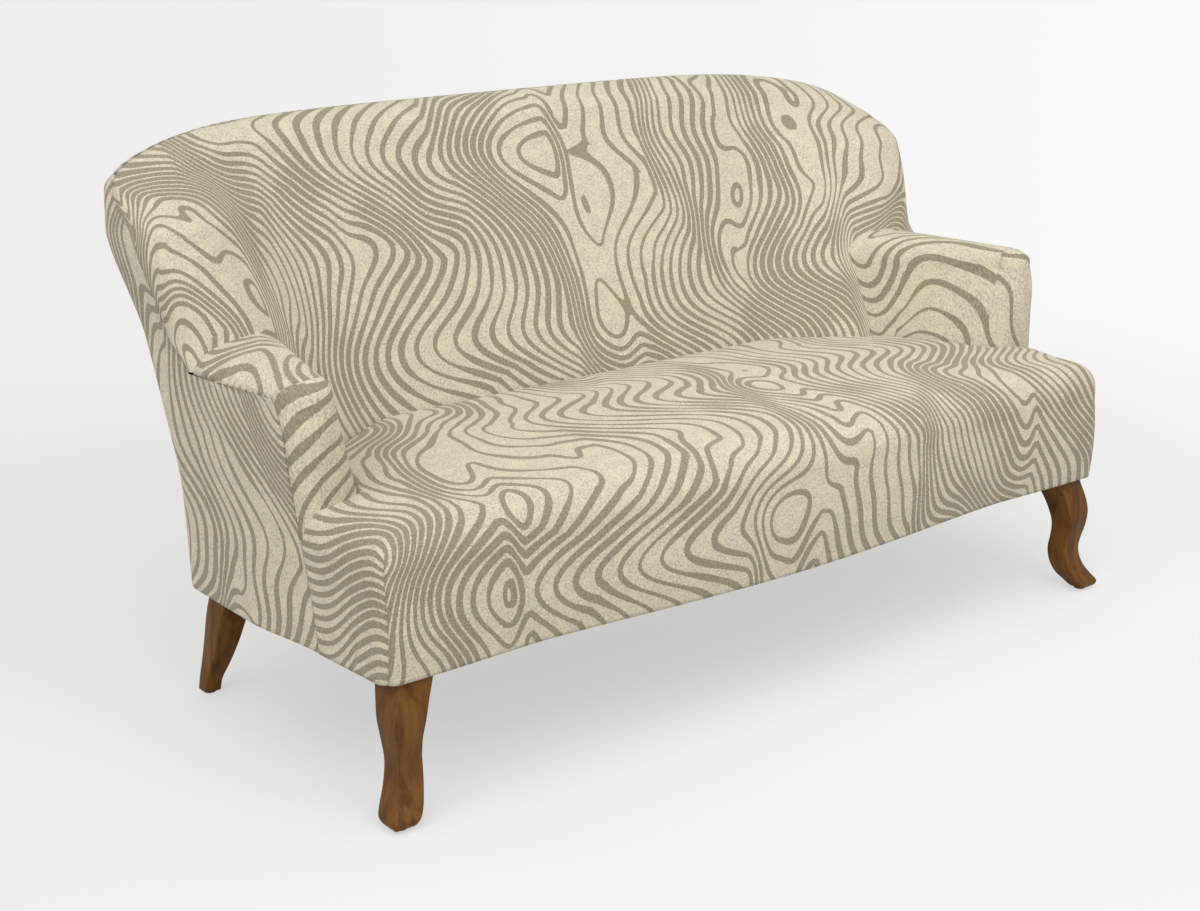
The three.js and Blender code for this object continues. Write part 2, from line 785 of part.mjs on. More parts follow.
// Right half of the seat outline at a height: free edges move in by one inset, hidden edges by another.
// Each point also holds the plan point its rings close towards, its roll radius and its lowest height.
function seatHalf(z, free, hidden) {
  const points = [];
  const put = (x, y, heart, roll, foot) => points.push({ x, y, heart, roll, foot });
  const r = Math.max(seamGap, earCornerRadius - free);
  const cornerX = earFrontX - free - r;
  const cornerY = frontFaceY(cornerX, z) + free + r;
  for (const s of seatFrontShares) {
    const x = cornerX * s;
    const heartX = mix(x * heartXShare, earHeartX, smooth(s * s * s));
    const heartY = mix(frontHeartY, earHeartY, smooth(s * s));
    const heart = [heartX, heartY];
    put(x, frontFaceY(x, z) + free, heart, seatRoll, undersideZ);
  }
  const earHeart = [earHeartX, earHeartY];
  for (const s of cornerTurns) {
    const a = (s * Math.PI) / 2;
    put(cornerX + r * Math.sin(a), cornerY - r * Math.cos(a), earHeart, seatRoll, undersideZ);
  }
  const seamZ = Math.min(z, seatEdgeZ);
  const seamY = frontSeamY(seamZ);
  const seamX = sideX(seamY, seamZ);
  const endY = seamY - seamGap - hidden;
  for (const s of earSideShares) {
    put(mix(cornerX + r, seamX - free, s), mix(cornerY, endY, s), earHeart, seatRoll, undersideZ);
  }
  put(seamX - free, endY, earHeart, seatRoll, undersideZ);
  const startX = armFaceX(armFrontStationY, z) - hidden;
  for (const s of underNoseShares) {
    const x = mix(startX, seamX - free, s);
    const sideDrop = rollDrop(seamX - free - x, seatRoll);
    put(x, mix(armFrontStationY, endY, s), earHeart, Math.min(seatRoll, seatHiddenRoll + sideDrop), tuckZ);
  }
  const corner = innerCorner(z, hidden);
  for (const s of armFaceShares) {
    const y = mix(armFrontStationY, corner[1], s);
    const heart = [mix(earHeartX, armHeartX, s), mix(earHeartY, rearHeartY, smooth(s))];
    put(armFaceX(y, z) - hidden, y, heart, seatHiddenRoll, tuckZ);
  }
  for (const s of seatBackShares) {
    const x = corner[0] * s;
    const y = insideFlatY(x, z) - (hidden + seatRearGap - tuckGap) * insideSlopeShare(x, z);
    put(x, y, [x * heartXShare, rearHeartY], seatHiddenRoll, tuckZ);
  }
  return points;
}

function seatLoop(z, free, hidden) {
  const half = seatHalf(z, free, hidden);
  const other = half
    .slice(1, -1)
    .reverse()
    .map((p) => ({ ...p, x: -p.x, heart: [-p.heart[0], p.heart[1]] }));
  return [...half, ...other];
}

// Height of the seat before its edge rolls
function seatDomeZ(x, y) {
  const rear = insideFlatY(Math.min(Math.abs(x), armInnerRearX), seatEdgeZ);
  const f = clamp01((y - frontPlanY(x)) / (rear - frontPlanY(x)));
  const ahead = f < crownPeakShare;
  const away = ahead ? (crownPeakShare - f) / crownPeakShare : (f - crownPeakShare) / (1 - crownPeakShare);
  const deep = 1 - (ahead ? 1 - crownFrontShare : 1) * away * away;
  const across = 1 - (Math.abs(x) / wingWideX) ** crownSideShare;
  return seatEdgeZ + seatCrown * deep * across;
}

const seatWallShares = [0, 0.35, 0.7, 1];
const seatRollShares = [0.07, 0.28, 0.6, 1];
const seatFieldShares = [0.3, 0.6];

// Rings from the lowest edge up over the roll and in towards the middle of the seat
function seatRings(free, hidden) {
  const base = seatLoop(seatEdgeZ - seatRoll, free, hidden);
  const upper = seatLoop(seatEdgeZ, free, hidden);
  const rims = base.map((p, i) => {
    const tucked = p.foot > undersideZ;
    const q = tucked ? upper[i] : p;
    const inset = tucked ? hidden : free;
    const roll = Math.max(seamGap, p.roll - inset);
    return { ...q, inset, roll, rimZ: seatDomeZ(q.x, q.y) - inset - roll };
  });
  const rings = seatWallShares.map((share) =>
    rims.map((rim, i) => {
      const z = mix(rim.foot, rim.rimZ, share);
      const p = seatLoop(z, free, hidden)[i];
      return [p.x, p.y, z];
    }),
  );
  for (const share of seatRollShares) {
    rings.push(
      rims.map((rim) => {
        const [hx, hy] = rim.heart;
        const far = Math.hypot(hx - rim.x, hy - rim.y);
        const walk = Math.min(rim.roll * share, far * share * 0.5);
        const x = rim.x + ((hx - rim.x) * walk) / far;
        const y = rim.y + ((hy - rim.y) * walk) / far;
        return [x, y, seatDomeZ(x, y) - rim.inset - rollDrop(rim.roll * share, rim.roll)];
      }),
    );
  }
  const shoulder = rings[rings.length - 1];
  for (const share of seatFieldShares) {
    rings.push(
      rims.map((rim, i) => {
        const x = mix(shoulder[i][0], rim.heart[0], share);
        const y = mix(shoulder[i][1], rim.heart[1], share);
        return [x, y, seatDomeZ(x, y) - rim.inset];
      }),
    );
  }
  return rings;
}

const seatFill = fillOf(seatRings(0, tuckGap).pop());

// The arm's nose stands on the ear of the seat, so the arm is trimmed where the seat passes under it.
const seatRelief = dome(seatRings(-seamGap, tuckGap - 2 * seamGap), seatFill);
const armCover = betweenSheets(armSheet(0), armSheet(coverThickness), armProfileStations, armSweepStations);
const armFoam = betweenSheets(
  armSheet(foamInset),
  armSheet(foamInset + armFoamThickness),
  armProfileStations,
  armSweepStations,
);
const trimmedArmCover = cut(armCover, seatRelief);
const trimmedArmFoam = cut(armFoam, seatRelief);
for (const [side, sign] of sides) {
  add(`inside_arm_cover_${side}`, mirrored(trimmedArmCover, sign), fabricColour, matte);
  add(`arm_foam_${side}`, mirrored(trimmedArmFoam, sign), foamColour, matte);
}

add(
  "seat_cover",
  domeShell(seatRings(0, tuckGap), seatRings(coverThickness, tuckGap + coverThickness), seatFill),
  fabricColour,
  matte,
);

// A flat slab with the seat's plan
function seatSlab(free, hidden, bottom, top) {
  return boardInPlan(
    seatLoop(undersideZ, free, hidden).map((p) => [p.x, p.y]),
    bottom,
    top,
  );
}

// The foam is one block over the springs with a thin lip in front of the rails.
const foamBlock = dome(seatRings(seatFoamInset, tuckGap + seatFoamInset), seatFill);
const foamHollow = seatSlab(seatFoamWall, -cutOverrun, undersideZ - cutOverrun, deckZ);
const below = undersideZ - cutOverrun;
const foamTailFrontY = armFrontStationY - noseDepthLow + foamTailSetback;
const foamTail = block(-wingWideX, wingWideX, foamTailFrontY, wingWideX, below, deckZ);
const foamHem = block(-wingWideX, wingWideX, -wingWideX, wingWideX, below, railBottomZ + touchGap);
add("seat_foam", cut(foamBlock, foamHollow, foamTail, foamHem), foamColour, matte);

// Seat rails
const frontRailXs = steps(12).map((t) => mix(-1, 1, t));
const sideRailShares = [0, 0.13, 0.26, 0.42, 0.62, 0.78, 0.94, 1];
const sideRailYs = sideRailShares.map((s) => mix(sideRailFrontY, sideRailRearY, s));

function sidePlanX(y) {
  if (y >= seamFootY) return sideX(y, undersideZ);
  return mix(sideFrontFootX, earFrontX, (seamFootY - y) / (seamFootY - frontY));
}

function railBand(line) {
  return [...line.map((p) => p.outer), ...line.map((p) => p.inner).reverse()];
}

const sideRailInner = (y) => sidePlanX(y) - railSetback - railThickness;
const frontRailEndX = sideRailInner(sideRailYs[0]) + railThickness / 3;
add(
  "front_seat_rail",
  boardInPlan(
    railBand(
      frontRailXs.map((s) => {
        const x = frontRailEndX * s;
        const y = frontPlanY(x) + railSetback;
        return { outer: [x, y], inner: [x, y + railThickness] };
      }),
    ),
    railBottomZ,
    railTopZ,
  ),
  timberColour,
  dull,
);

const postInnerX = postX - postWidth / 2;
const postOuterX = postX + postWidth / 2;
add(
  "back_seat_rail",
  rakedBoard(
    -postInnerX + touchGap,
    postInnerX - touchGap,
    () => railBottomZ,
    () => railTopZ,
    railSetback,
    railThickness,
    8,
    1,
  ),
  timberColour,
  dull,
);

const sideRailStartY = frontPlanY(frontRailEndX) + railSetback + railThickness + touchGap;
const sideRail = boardInPlan(
  railBand(
    sideRailYs.map((y, i) => {
      const at = i === 0 ? sideRailStartY + frontFlare : y;
      return { outer: [sidePlanX(at) - railSetback, at], inner: [sideRailInner(at), at] };
    }),
  ),
  railBottomZ,
  railTopZ,
);
for (const [side, sign] of sides) {
  add(`side_seat_rail_${side}`, mirrored(sideRail, sign), timberColour, dull);
}

const frontRailInnerY = frontPlanY(0) + railSetback + railThickness + 3 * touchGap;
const backRailInnerY = rearY(0, railBottomZ) - railSetback - railThickness - touchGap;
add(
  "seat_centre_stretcher",
  block(
    -stretcherWidth / 2,
    stretcherWidth / 2,
    frontRailInnerY,
    backRailInnerY,
    railBottomZ,
    railBottomZ + stretcherHeight,
  ),
  timberColour,
  dull,
);

// Legs
const soleZ = glideThickness + touchGap;
const legTopZ = railBottomZ - touchGap;

function legCurve(soles, heights, outs, ins, tops) {
  const stations = [soles, ...heights.map((h, i) => [h, outs[i], ins[i]]), tops];
  const curve = new THREE.CatmullRomCurve3(stations.map(([h, out, inn]) => new THREE.Vector3(out, inn, h)));
  return steps(legLevels).map((t) => curve.getPoint(t));
}

// A leg of square section with softened edges whose corners slide along the plan diagonal
function leg(x, y, outY, levels, leanX = 0, leanY = 0) {
  const rings = levels.map(({ x: out, y: inn, z }) => {
    const rise = z / legTopZ;
    const size = out + inn;
    const e = Math.min(legEdge, size / 4);
    const corner = [
      [e, 0],
      [size - e, 0],
      [size, e],
      [size, size - e],
      [size - e, size],
      [e, size],
      [0, size - e],
      [0, e],
    ];
    const ring = corner.map(([a, b]) => [
      x - inn + a + leanX * rise,
      y + outY * (b - inn) + leanY * rise,
      z,
    ]);
    return outY > 0 ? ring : ring.reverse();
  });
  return dome(rings);
}

const frontLeg = leg(
  frontLegX,
  frontLegY,
  -1,
  legCurve(
    [soleZ, frontLegSoleOut, frontLegSoleIn],
    frontLegHeights,
    frontLegOuts,
    frontLegIns,
    [legTopZ, frontLegTopOut, frontLegTopIn],
  ),
);
const rearLeg = leg(
  rearLegX,
  rearLegY,
  1,
  legCurve(
    [soleZ, rearLegSoleOut, rearLegSoleIn],
    rearLegHeights,
    rearLegOuts,
    rearLegIns,
    [legTopZ, rearLegTopOut, rearLegTopIn],
  ),
  rearLegLeanX,
  rearLegLeanY,
);

// Turns a [radius, height] outline about an upright axis at x, y.
function turned(profile, x, y, sidesCount) {
  const points = profile.map(([r, z]) => new THREE.Vector2(r, z));
  const body = new THREE.LatheGeometry(points, sidesCount);
  body.rotateX(Math.PI / 2);
  body.translate(x, y, 0);
  return closedBody(Array.from(body.toNonIndexed().attributes.position.array));
}

const legMounts = [
  {
    name: "front_leg",
    shape: frontLeg,
    x: frontLegX + (frontLegTopOut - frontLegTopIn) / 2 - frontBoltInset,
    y: frontLegY - (frontLegTopOut - frontLegTopIn) / 2 + frontBoltInset,
    footX: frontLegX + (frontLegSoleOut - frontLegSoleIn) / 2,
    footY: frontLegY - (frontLegSoleOut - frontLegSoleIn) / 2,
  },
  {
    name: "rear_leg",
    shape: rearLeg,
    x: rearLegX + rearLegLeanX + (rearLegTopOut - rearLegTopIn) / 2,
    y: rearLegY + rearLegLeanY + (rearLegTopOut - rearLegTopIn) / 2,
    footX: rearLegX + (rearLegSoleOut - rearLegSoleIn) / 2,
    footY: rearLegY + (rearLegSoleOut - rearLegSoleIn) / 2,
  },
];
const blockTopZ = railBottomZ + blockHeight;
const boltHeadZ = blockTopZ + touchGap;

// Corner blocks fill the inner corners of the seat frame above the legs.
const frontInnerY = (x) => frontPlanY(x) + railSetback + railThickness + touchGap;
const blockCornerX = sideRailInner(sideRailStartY) - 2 * touchGap;
const blockFrontXs = [blockCornerX - blockLeg, blockCornerX - blockLeg / 2, blockCornerX];
const frontBlock = boardInPlan(
  [
    ...blockFrontXs.map((x) => [x, frontInnerY(x) + seamGap]),
    [sideRailInner(frontY + blockLeg) - touchGap, sideRailStartY + blockLeg],
  ],
  railBottomZ,
  blockTopZ,
);
const rearBlockOuterX = sideRailInner(railEndY) - 2 * touchGap;
const rearBlockRearY = rearY(rearBlockOuterX, railBottomZ) - railSetback;
const rearBlock = boardInPlan(
  [
    [postOuterX + touchGap, railEndY],
    [rearBlockOuterX, railEndY],
    [rearBlockOuterX, rearBlockRearY],
    [postOuterX + touchGap, rearBlockRearY],
  ],
  railBottomZ,
  blockTopZ,
);
const cornerBlocks = [frontBlock, rearBlock];

legMounts.forEach((mount, i) => {
  const bore = boltRadius + boltClearance;
  const drill = turned(
    [
      [0, boltFootZ - boltHeadHeight],
      [bore, boltFootZ - boltHeadHeight],
      [bore, blockTopZ + cutOverrun],
      [0, blockTopZ + cutOverrun],
    ],
    mount.x,
    mount.y,
    boltSides,
  );
  const bolt = turned(
    [
      [0, boltFootZ],
      [boltRadius, boltFootZ],
      [boltRadius, boltHeadZ],
      [boltHeadRadius, boltHeadZ],
      [boltHeadRadius, boltHeadZ + boltHeadHeight],
      [0, boltHeadZ + boltHeadHeight],
    ],
    mount.x,
    mount.y,
    boltSides,
  );
  const glide = turned(
    [
      [0, 0],
      [glideRadius, 0],
      [glideRadius, glideThickness],
      [0, glideThickness],
    ],
    mount.footX,
    mount.footY,
    glideSides,
  );
  const drilledLeg = cut(mount.shape, drill);
  const drilledBlock = cut(cornerBlocks[i], drill);
  for (const [side, sign] of sides) {
    add(`${mount.name}_${side}`, mirrored(drilledLeg, sign), legColour, satin);
    add(`${mount.name}_block_${side}`, mirrored(drilledBlock, sign), timberColour, dull);
    add(`${mount.name}_bolt_${side}`, mirrored(bolt, sign), steelColour, polished, 1);
    add(`${mount.name}_glide_${side}`, mirrored(glide, sign), nylonColour, dull);
  }
});

// Back frame
const topRailLowZ = (x) => outlineZ(x) - topRailDrop - topRailHeight;
const wingBoardOuterX = notchX - wingBoardInset;
const wingBoardInnerX = wingBoardOuterX - wingBoardThickness;
const backPost = rakedBoard(
  postInnerX,
  postOuterX,
  () => railBottomZ,
  (x) => topRailLowZ(x) - seamGap,
  railSetback,
  postDepth,
  1,
  8,
);
for (const [side, sign] of sides) add(`back_post_${side}`, mirrored(backPost, sign), timberColour, dull);

add(
  "back_top_rail",
  rakedBoard(
    -wingBoardInnerX + touchGap,
    wingBoardInnerX - touchGap,
    topRailLowZ,
    (x) => outlineZ(x) - topRailDrop,
    railSetback,
    topRailThickness,
    14,
    4,
  ),
  timberColour,
  dull,
);
add(
  "back_lower_rail",
  rakedBoard(
    -postInnerX + touchGap,
    postInnerX - touchGap,
    () => tuckZ,
    () => tuckZ + lowRailHeight,
    railSetback,
    topRailThickness,
    8,
    2,
  ),
  timberColour,
  dull,
);
add(
  "back_centre_upright",
  rakedBoard(
    -uprightWidth / 2,
    uprightWidth / 2,
    () => tuckZ + lowRailHeight + touchGap,
    (x) => topRailLowZ(x) - touchGap,
    railSetback,
    uprightThickness,
    1,
    6,
  ),
  timberColour,
  dull,
);

// Wing boards stand on the arm boards.
const wingBoardTopZ = Math.min(wingTopZ, outlineZ(wingBoardOuterX)) - wingBoardTopDrop;
const wingBoardShares = [0, 0.32, 0.6, 0.77, 0.87, 1];
const wingBoardHeights = wingBoardShares.map((s) => mix(armBoardTopZ + touchGap, wingBoardTopZ, s));
const wingFront = wingBoardHeights.map((z) => {
  const foamDepth = foamInset + backFoamThickness;
  const behindFoam = foamDepth * insideSlopeShare(wingBoardOuterX, Math.max(z, armSeamZ));
  return [insideFlatY(wingBoardOuterX, Math.max(z, armSeamZ)) + behindFoam + wingBoardClearance, z];
});
const wingRear = wingBoardHeights.map((z) => [outsideY(wingBoardOuterX, z) - railSetback, z]).reverse();
const wingBoard = boardInSide([...wingFront, ...wingRear], wingBoardInnerX, wingBoardThickness);

const armPost = block(
  armPostX - armPostWidth / 2,
  armPostX + armPostWidth / 2,
  armPostRearY - armPostDepth,
  armPostRearY,
  railTopZ + touchGap,
  armBoardTopZ - armBoardThickness - touchGap,
);
const armBoard = boardInPlan(
  [
    [armBoardInnerX, armPostRearY - armPostDepth / 2],
    [wingBoardOuterX, armPostRearY - armPostDepth / 2],
    [wingBoardOuterX, armBoardRearY - armBoardOuterTrim],
    [wingBoardOuterX - armBoardOuterTrim, armBoardRearY],
    [postOuterX + touchGap, armBoardRearY],
    [postOuterX + touchGap, armBoardReachY],
    [armBoardInnerX, armBoardReachY - armBoardInnerX + postOuterX],
  ],
  armBoardTopZ - armBoardThickness,
  armBoardTopZ,
);
const tackFrontX = armPostX - armPostWidth / 2 - touchGap;
const tackRearY = rearY(postX, tackRailBottomZ) - railSetback - postDepth - touchGap;
const tackRail = boardInPlan(
  [
    [postX, tackRearY],
    [tackFrontX, armPostRearY - armPostDepth + tackRailThickness],
    [tackFrontX, armPostRearY],
    [postX + tackRailThickness, tackRearY],
  ],
  tackRailBottomZ,
  tackRailBottomZ + tackRailHeight,
);
for (const [side, sign] of sides) {
  add(`wing_board_${side}`, mirrored(wingBoard, sign), timberColour, dull);
  add(`arm_post_${side}`, mirrored(armPost, sign), timberColour, dull);
  add(`arm_top_board_${side}`, mirrored(armBoard, sign), timberColour, dull);
  add(`arm_tacking_rail_${side}`, mirrored(tackRail, sign), timberColour, dull);
}

// Zigzag seat springs, arched between the front and back rails
function spring(x) {
  const front = frontPlanY(x) + railSetback + railThickness / 4;
  const rear = rearY(x, railTopZ) - railSetback - railThickness / 4;
  const bends = Math.round((rear - front) / (springPitch / 2));
  const points = [];
  for (let i = 0; i <= bends; i++) {
    const t = i / bends;
    const turn = i % 2 === 0 ? 1 : -1;
    const wide = i === 0 || i === bends ? 0 : springHalfWidth;
    const z = railTopZ + touchGap + springWire / 2 + springArch * Math.sin(Math.PI * t);
    points.push(new THREE.Vector3(x + turn * wide, mix(front, rear, t), z));
  }
  const half = springWire / 2;
  const rings = points.map((p, i) => {
    const before = points[Math.max(0, i - 1)];
    const after = points[Math.min(bends, i + 1)];
    const along = after.clone().sub(before).setZ(0).normalize();
    const across = new THREE.Vector3(-along.y, along.x, 0).multiplyScalar(half);
    const a = p.clone().add(across);
    const b = p.clone().sub(across);
    return [
      [a.x, a.y, p.z - half],
      [b.x, b.y, p.z - half],
      [b.x, b.y, p.z + half],
      [a.x, a.y, p.z + half],
    ];
  });
  const positions = [];
  const quad = (p, q, r, s) => positions.push(...p, ...q, ...r, ...p, ...r, ...s);
  for (let k = 0; k + 1 < rings.length; k++) {
    for (let i = 0; i < 4; i++) {
      const j = (i + 1) % 4;
      quad(rings[k][i], rings[k][j], rings[k + 1][j], rings[k + 1][i]);
    }
  }
  const last = rings[rings.length - 1];
  quad(rings[0][3], rings[0][2], rings[0][1], rings[0][0]);
  quad(last[0], last[1], last[2], last[3]);
  return closedBody(positions);
}

for (let i = 0; i < springCount; i++) {
  const x = mix(-springEndX, springEndX, i / (springCount - 1));
  add(`seat_spring_${i + 1}`, spring(x), steelColour, polished, 1);
}

// Cloth over the springs, straps across the back and the dust cover underneath
const deckTop = deckZ - touchGap;
const springCloth = seatSlab(railSetback, tuckGap, deckTop - clothThickness, deckTop);
add("spring_cover_cloth", springCloth, clothColour, matte);

for (let i = 0; i < strapCount; i++) {
  const x = mix(-strapEndX, strapEndX, i / (strapCount - 1));
  add(
    `back_strap_${i + 1}`,
    rakedBoard(
      x - strapWidth / 2,
      x + strapWidth / 2,
      () => tuckZ,
      (at) => outlineZ(at) - strapDrop,
      railSetback + topRailThickness + foamGap,
      strapThickness,
      1,
      20,
    ),
    clothColour,
    matte,
  );
}

const dustSideShares = [0, 0.13, 0.3, 0.52, 0.69, 0.87, 1];
const dustHalf = [
  ...steps(8).map((t) => [earFrontX * t, frontPlanY(earFrontX * t) + dustInset]),
  ...dustSideShares
    .map((s) => mix(dustSideFrontY, dustSideRearY, s))
    .map((y) => [sidePlanX(y) - dustInset, y]),
  ...steps(6).map((t) => {
    const x = mix(sidePlanX(railEndY) - rearCornerRadius, 0, t);
    return [x, rearY(x, undersideZ) - dustInset];
  }),
];
const dustOutline = [
  ...dustHalf,
  ...dustHalf
    .slice(1, -1)
    .reverse()
    .map(([x, y]) => [-x, y]),
];
const legRelief = seamGap + frontLegTopIn;
const rearRelief = seamGap + rearLegTopIn;
const dustCuts = [-1, 1].flatMap((sign) => {
  const frontNear = sign * (frontLegX - legRelief);
  const rearNear = sign * (rearLegX + rearLegLeanX - rearRelief);
  const far = sign * (wingWideX + cutOverrun);
  const frontReachY = frontLegY + legRelief;
  const rearStartY = rearLegY + rearLegLeanY - rearRelief;
  return [
    block(Math.min(frontNear, far), Math.max(frontNear, far), 2 * frontY, frontReachY, 0, deckZ),
    block(Math.min(rearNear, far), Math.max(rearNear, far), rearStartY, wingWideX, 0, deckZ),
  ];
});
add(
  "dust_cover",
  cut(boardInPlan(dustOutline, undersideZ + touchGap, railBottomZ - touchGap), ...dustCuts),
  clothColour,
  matte,
);

// The origin lies on the floor under the middle of the sofa.
const reach = new THREE.Box3().setFromObject(sofa);
const shift = -(reach.min.y + reach.max.y) / 2;
for (const mesh of sofa.children) mesh.geometry.translate(0, shift, 0);

export default sofa;
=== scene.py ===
# %% [markdown]
# # A cabriole sofa, dressed over its construction
#
# The construction model gives every board, spring and cover its place. This file makes what the eye sees:
# smooth padded covers sewn from patterned cloth, shaped wooden legs, a floor and soft light. Lengths of the
# upholstery are written in millimetres, as a maker would note them, and become metres in one step.

# %% Load the construction model
import json
import math
import bpy
import numpy as np
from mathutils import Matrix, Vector


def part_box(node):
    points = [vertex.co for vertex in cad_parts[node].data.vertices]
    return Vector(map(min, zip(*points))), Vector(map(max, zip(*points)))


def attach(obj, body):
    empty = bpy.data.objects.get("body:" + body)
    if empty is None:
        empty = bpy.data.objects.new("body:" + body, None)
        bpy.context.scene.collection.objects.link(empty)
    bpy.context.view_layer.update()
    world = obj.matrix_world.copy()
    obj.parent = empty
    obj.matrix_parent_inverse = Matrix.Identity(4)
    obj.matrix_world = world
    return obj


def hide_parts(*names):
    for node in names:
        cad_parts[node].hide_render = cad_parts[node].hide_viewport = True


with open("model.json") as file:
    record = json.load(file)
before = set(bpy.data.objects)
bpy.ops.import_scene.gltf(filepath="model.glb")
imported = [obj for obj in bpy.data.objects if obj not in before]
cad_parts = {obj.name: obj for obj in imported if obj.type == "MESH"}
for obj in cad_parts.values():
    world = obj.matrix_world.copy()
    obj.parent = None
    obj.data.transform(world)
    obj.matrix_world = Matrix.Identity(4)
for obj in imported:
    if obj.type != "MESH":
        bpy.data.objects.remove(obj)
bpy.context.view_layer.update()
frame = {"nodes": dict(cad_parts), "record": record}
root = "root"
print("nodes in the frame:", len(frame["nodes"]))

# %% [markdown]
# The covers were drawn about the middle of the seat, while the model's origin lies under the middle of the
# whole depth. One glide under a front foot tells how far the two are apart.

# %% Millimetres and the shift along the depth
MM = 0.001
FOOT_Y = -311
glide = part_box("front_leg_glide_right")
shift_y = (glide[0].y + glide[1].y) / 2 - FOOT_Y * MM
print("shift along the depth:", round(shift_y, 4), "m")


def clamp01(t):
    return min(1.0, max(0.0, t))


def smooth(t):
    c = clamp01(t)
    return c * c * (3 - 2 * c)


def mix(a, b, t):
    return a + (b - a) * t


def steps(start, end, count):
    return np.linspace(start, end, count).tolist()


def soft_rise(t, blend):
    if t <= -blend / 2:
        return 0.0
    if t >= blend / 2:
        return t
    return (t + blend / 2) ** 2 / (2 * blend)


def roll_drop(distance, radius):
    a = min(radius, max(0.0, radius - distance))
    return radius - math.sqrt(max(0.0, radius * radius - a * a))


# %% [markdown]
# A sofa like this starts from a few lines: the outline of the back from the front, the rake of the inside
# back with its two wings that come forward, and the outside back behind. Writing them as functions of place
# lets each cover be sampled as finely as the cloth needs.

# %% Lines of the body
UNDERSIDE, ARM_SEAM, ARM_CREST, WING_WIDE, WING_TOP, CREST = 228, 617, 642, 795, 880, 945
SEAT_EDGE, SEAT_CROWN, TUCK = 446, 27, 372
NOTCH_X, WING_X, FOOT_X, FRONT_FOOT_X, ARM_FOOT_X = 835, 860, 836, 816, 634
SIDE_POWER, TOP_POWER = 4.5, 3
BACK_Z, BACK_Y, RAKE, SWELL, WING_REACH, WING_TOP_REACH = 440, 250, 0.43, 9, 135, 48
WING_START, START_SPREAD, WING_END, END_SPREAD = 420, 0.25, 700, 0.27
ROLL_LOW, ROLL_TOP = 12, 50
REAR_Z, REAR_Y, REAR_LEAN, REAR_RAKE, REAR_BEND_Z, REAR_BOW = 260, 328, 0.08, 0.446, 410, 66
REAR_WRAP, CORNER_RADIUS, THREAD, REAR_GAP = 46, 60, 0.6, 0.5
SEAM_BEND_Z, SEAM_FOOT_Y, SEAM_BEND_Y, SEAM_TOP_Y = 530, -140, -99, -70
NOSE_SEAM, ROLL_END, PANEL_TOP = ARM_SEAM - 3, ARM_SEAM - 2.2, ARM_SEAM - 2


def body_x(z):
    if z < ARM_SEAM:
        return mix(FOOT_X, NOTCH_X, smooth((z - UNDERSIDE) / (ARM_SEAM - UNDERSIDE)))
    if z <= WING_WIDE:
        return mix(NOTCH_X, WING_X, smooth((z - ARM_SEAM) / (WING_WIDE - ARM_SEAM)))
    t = clamp01((z - WING_WIDE) / (CREST - WING_WIDE))
    return WING_X * (1 - t**TOP_POWER) ** (1 / SIDE_POWER)


def outline_z(x):
    t = clamp01(abs(x) / WING_X)
    return WING_WIDE + (CREST - WING_WIDE) * (1 - t**SIDE_POWER) ** (1 / TOP_POWER)


def outline_distance(x, z):
    ax = abs(x)
    if z <= WING_WIDE:
        return body_x(z) - ax
    h = CREST - WING_WIDE
    tx, tz = ax / WING_X, (z - WING_WIDE) / h
    level = 1 - tx**SIDE_POWER - tz**TOP_POWER
    slope_x = SIDE_POWER * tx ** (SIDE_POWER - 1) / WING_X
    slope_z = TOP_POWER * tz ** (TOP_POWER - 1) / h
    steep = math.hypot(slope_x, slope_z)
    return max(0.0, level / steep) if steep > 0 else WING_X


def inside_flat_y(x, z):
    up = z - BACK_Z
    swell = SWELL * math.sin(math.pi * clamp01(up / (CREST - BACK_Z)))
    reach = mix(WING_REACH, WING_TOP_REACH, smooth((z - 800) / 90))
    start = WING_START + START_SPREAD * max(0.0, up)
    end = WING_END + END_SPREAD * max(0.0, up)
    return BACK_Y + RAKE * up - swell - reach * smooth((abs(x) - start) / (end - start))


def inside_slope(x, z):
    gx = (inside_flat_y(x + 1, z) - inside_flat_y(x - 1, z)) / 2
    gz = (inside_flat_y(x, z + 1) - inside_flat_y(x, z - 1)) / 2
    return math.sqrt(1 + gx * gx + gz * gz)


def back_roll(z):
    return mix(ROLL_LOW, ROLL_TOP, smooth((z - ARM_SEAM) / 45))


def inside_y(x, z):
    return inside_flat_y(x, z) + roll_drop(outline_distance(x, z), back_roll(z))


def edge_y(x, z):
    return inside_flat_y(x, z) + back_roll(z)


def rear_y(x, z):
    bend = (REAR_RAKE - REAR_LEAN) * soft_rise(z - REAR_BEND_Z, 80)
    return REAR_Y + REAR_LEAN * (z - REAR_Z) + bend - REAR_BOW * abs(x / WING_X) ** 2.5


def rear_radius(x, z):
    full = rear_y(x, z) - edge_y(x, z) - REAR_GAP
    return mix(CORNER_RADIUS, full, smooth((z - 780) / (WING_TOP - 780)))


def wrap_at(z):
    return REAR_WRAP * smooth((WING_TOP - z) / 90)


def side_x(y, z):
    if z >= ARM_SEAM:
        return body_x(z)
    foot = mix(FRONT_FOOT_X, FOOT_X, smooth((y - SEAM_FOOT_Y) / 180))
    return mix(foot, NOTCH_X, smooth((z - UNDERSIDE) / (ARM_SEAM - UNDERSIDE)))


def front_seam_y(z):
    if z >= SEAM_BEND_Z:
        return mix(SEAM_BEND_Y, SEAM_TOP_Y, clamp01((z - SEAM_BEND_Z) / (NOSE_SEAM - SEAM_BEND_Z)) ** 2)
    return mix(SEAM_FOOT_Y, SEAM_BEND_Y, clamp01((z - UNDERSIDE) / (SEAM_BEND_Z - UNDERSIDE)))


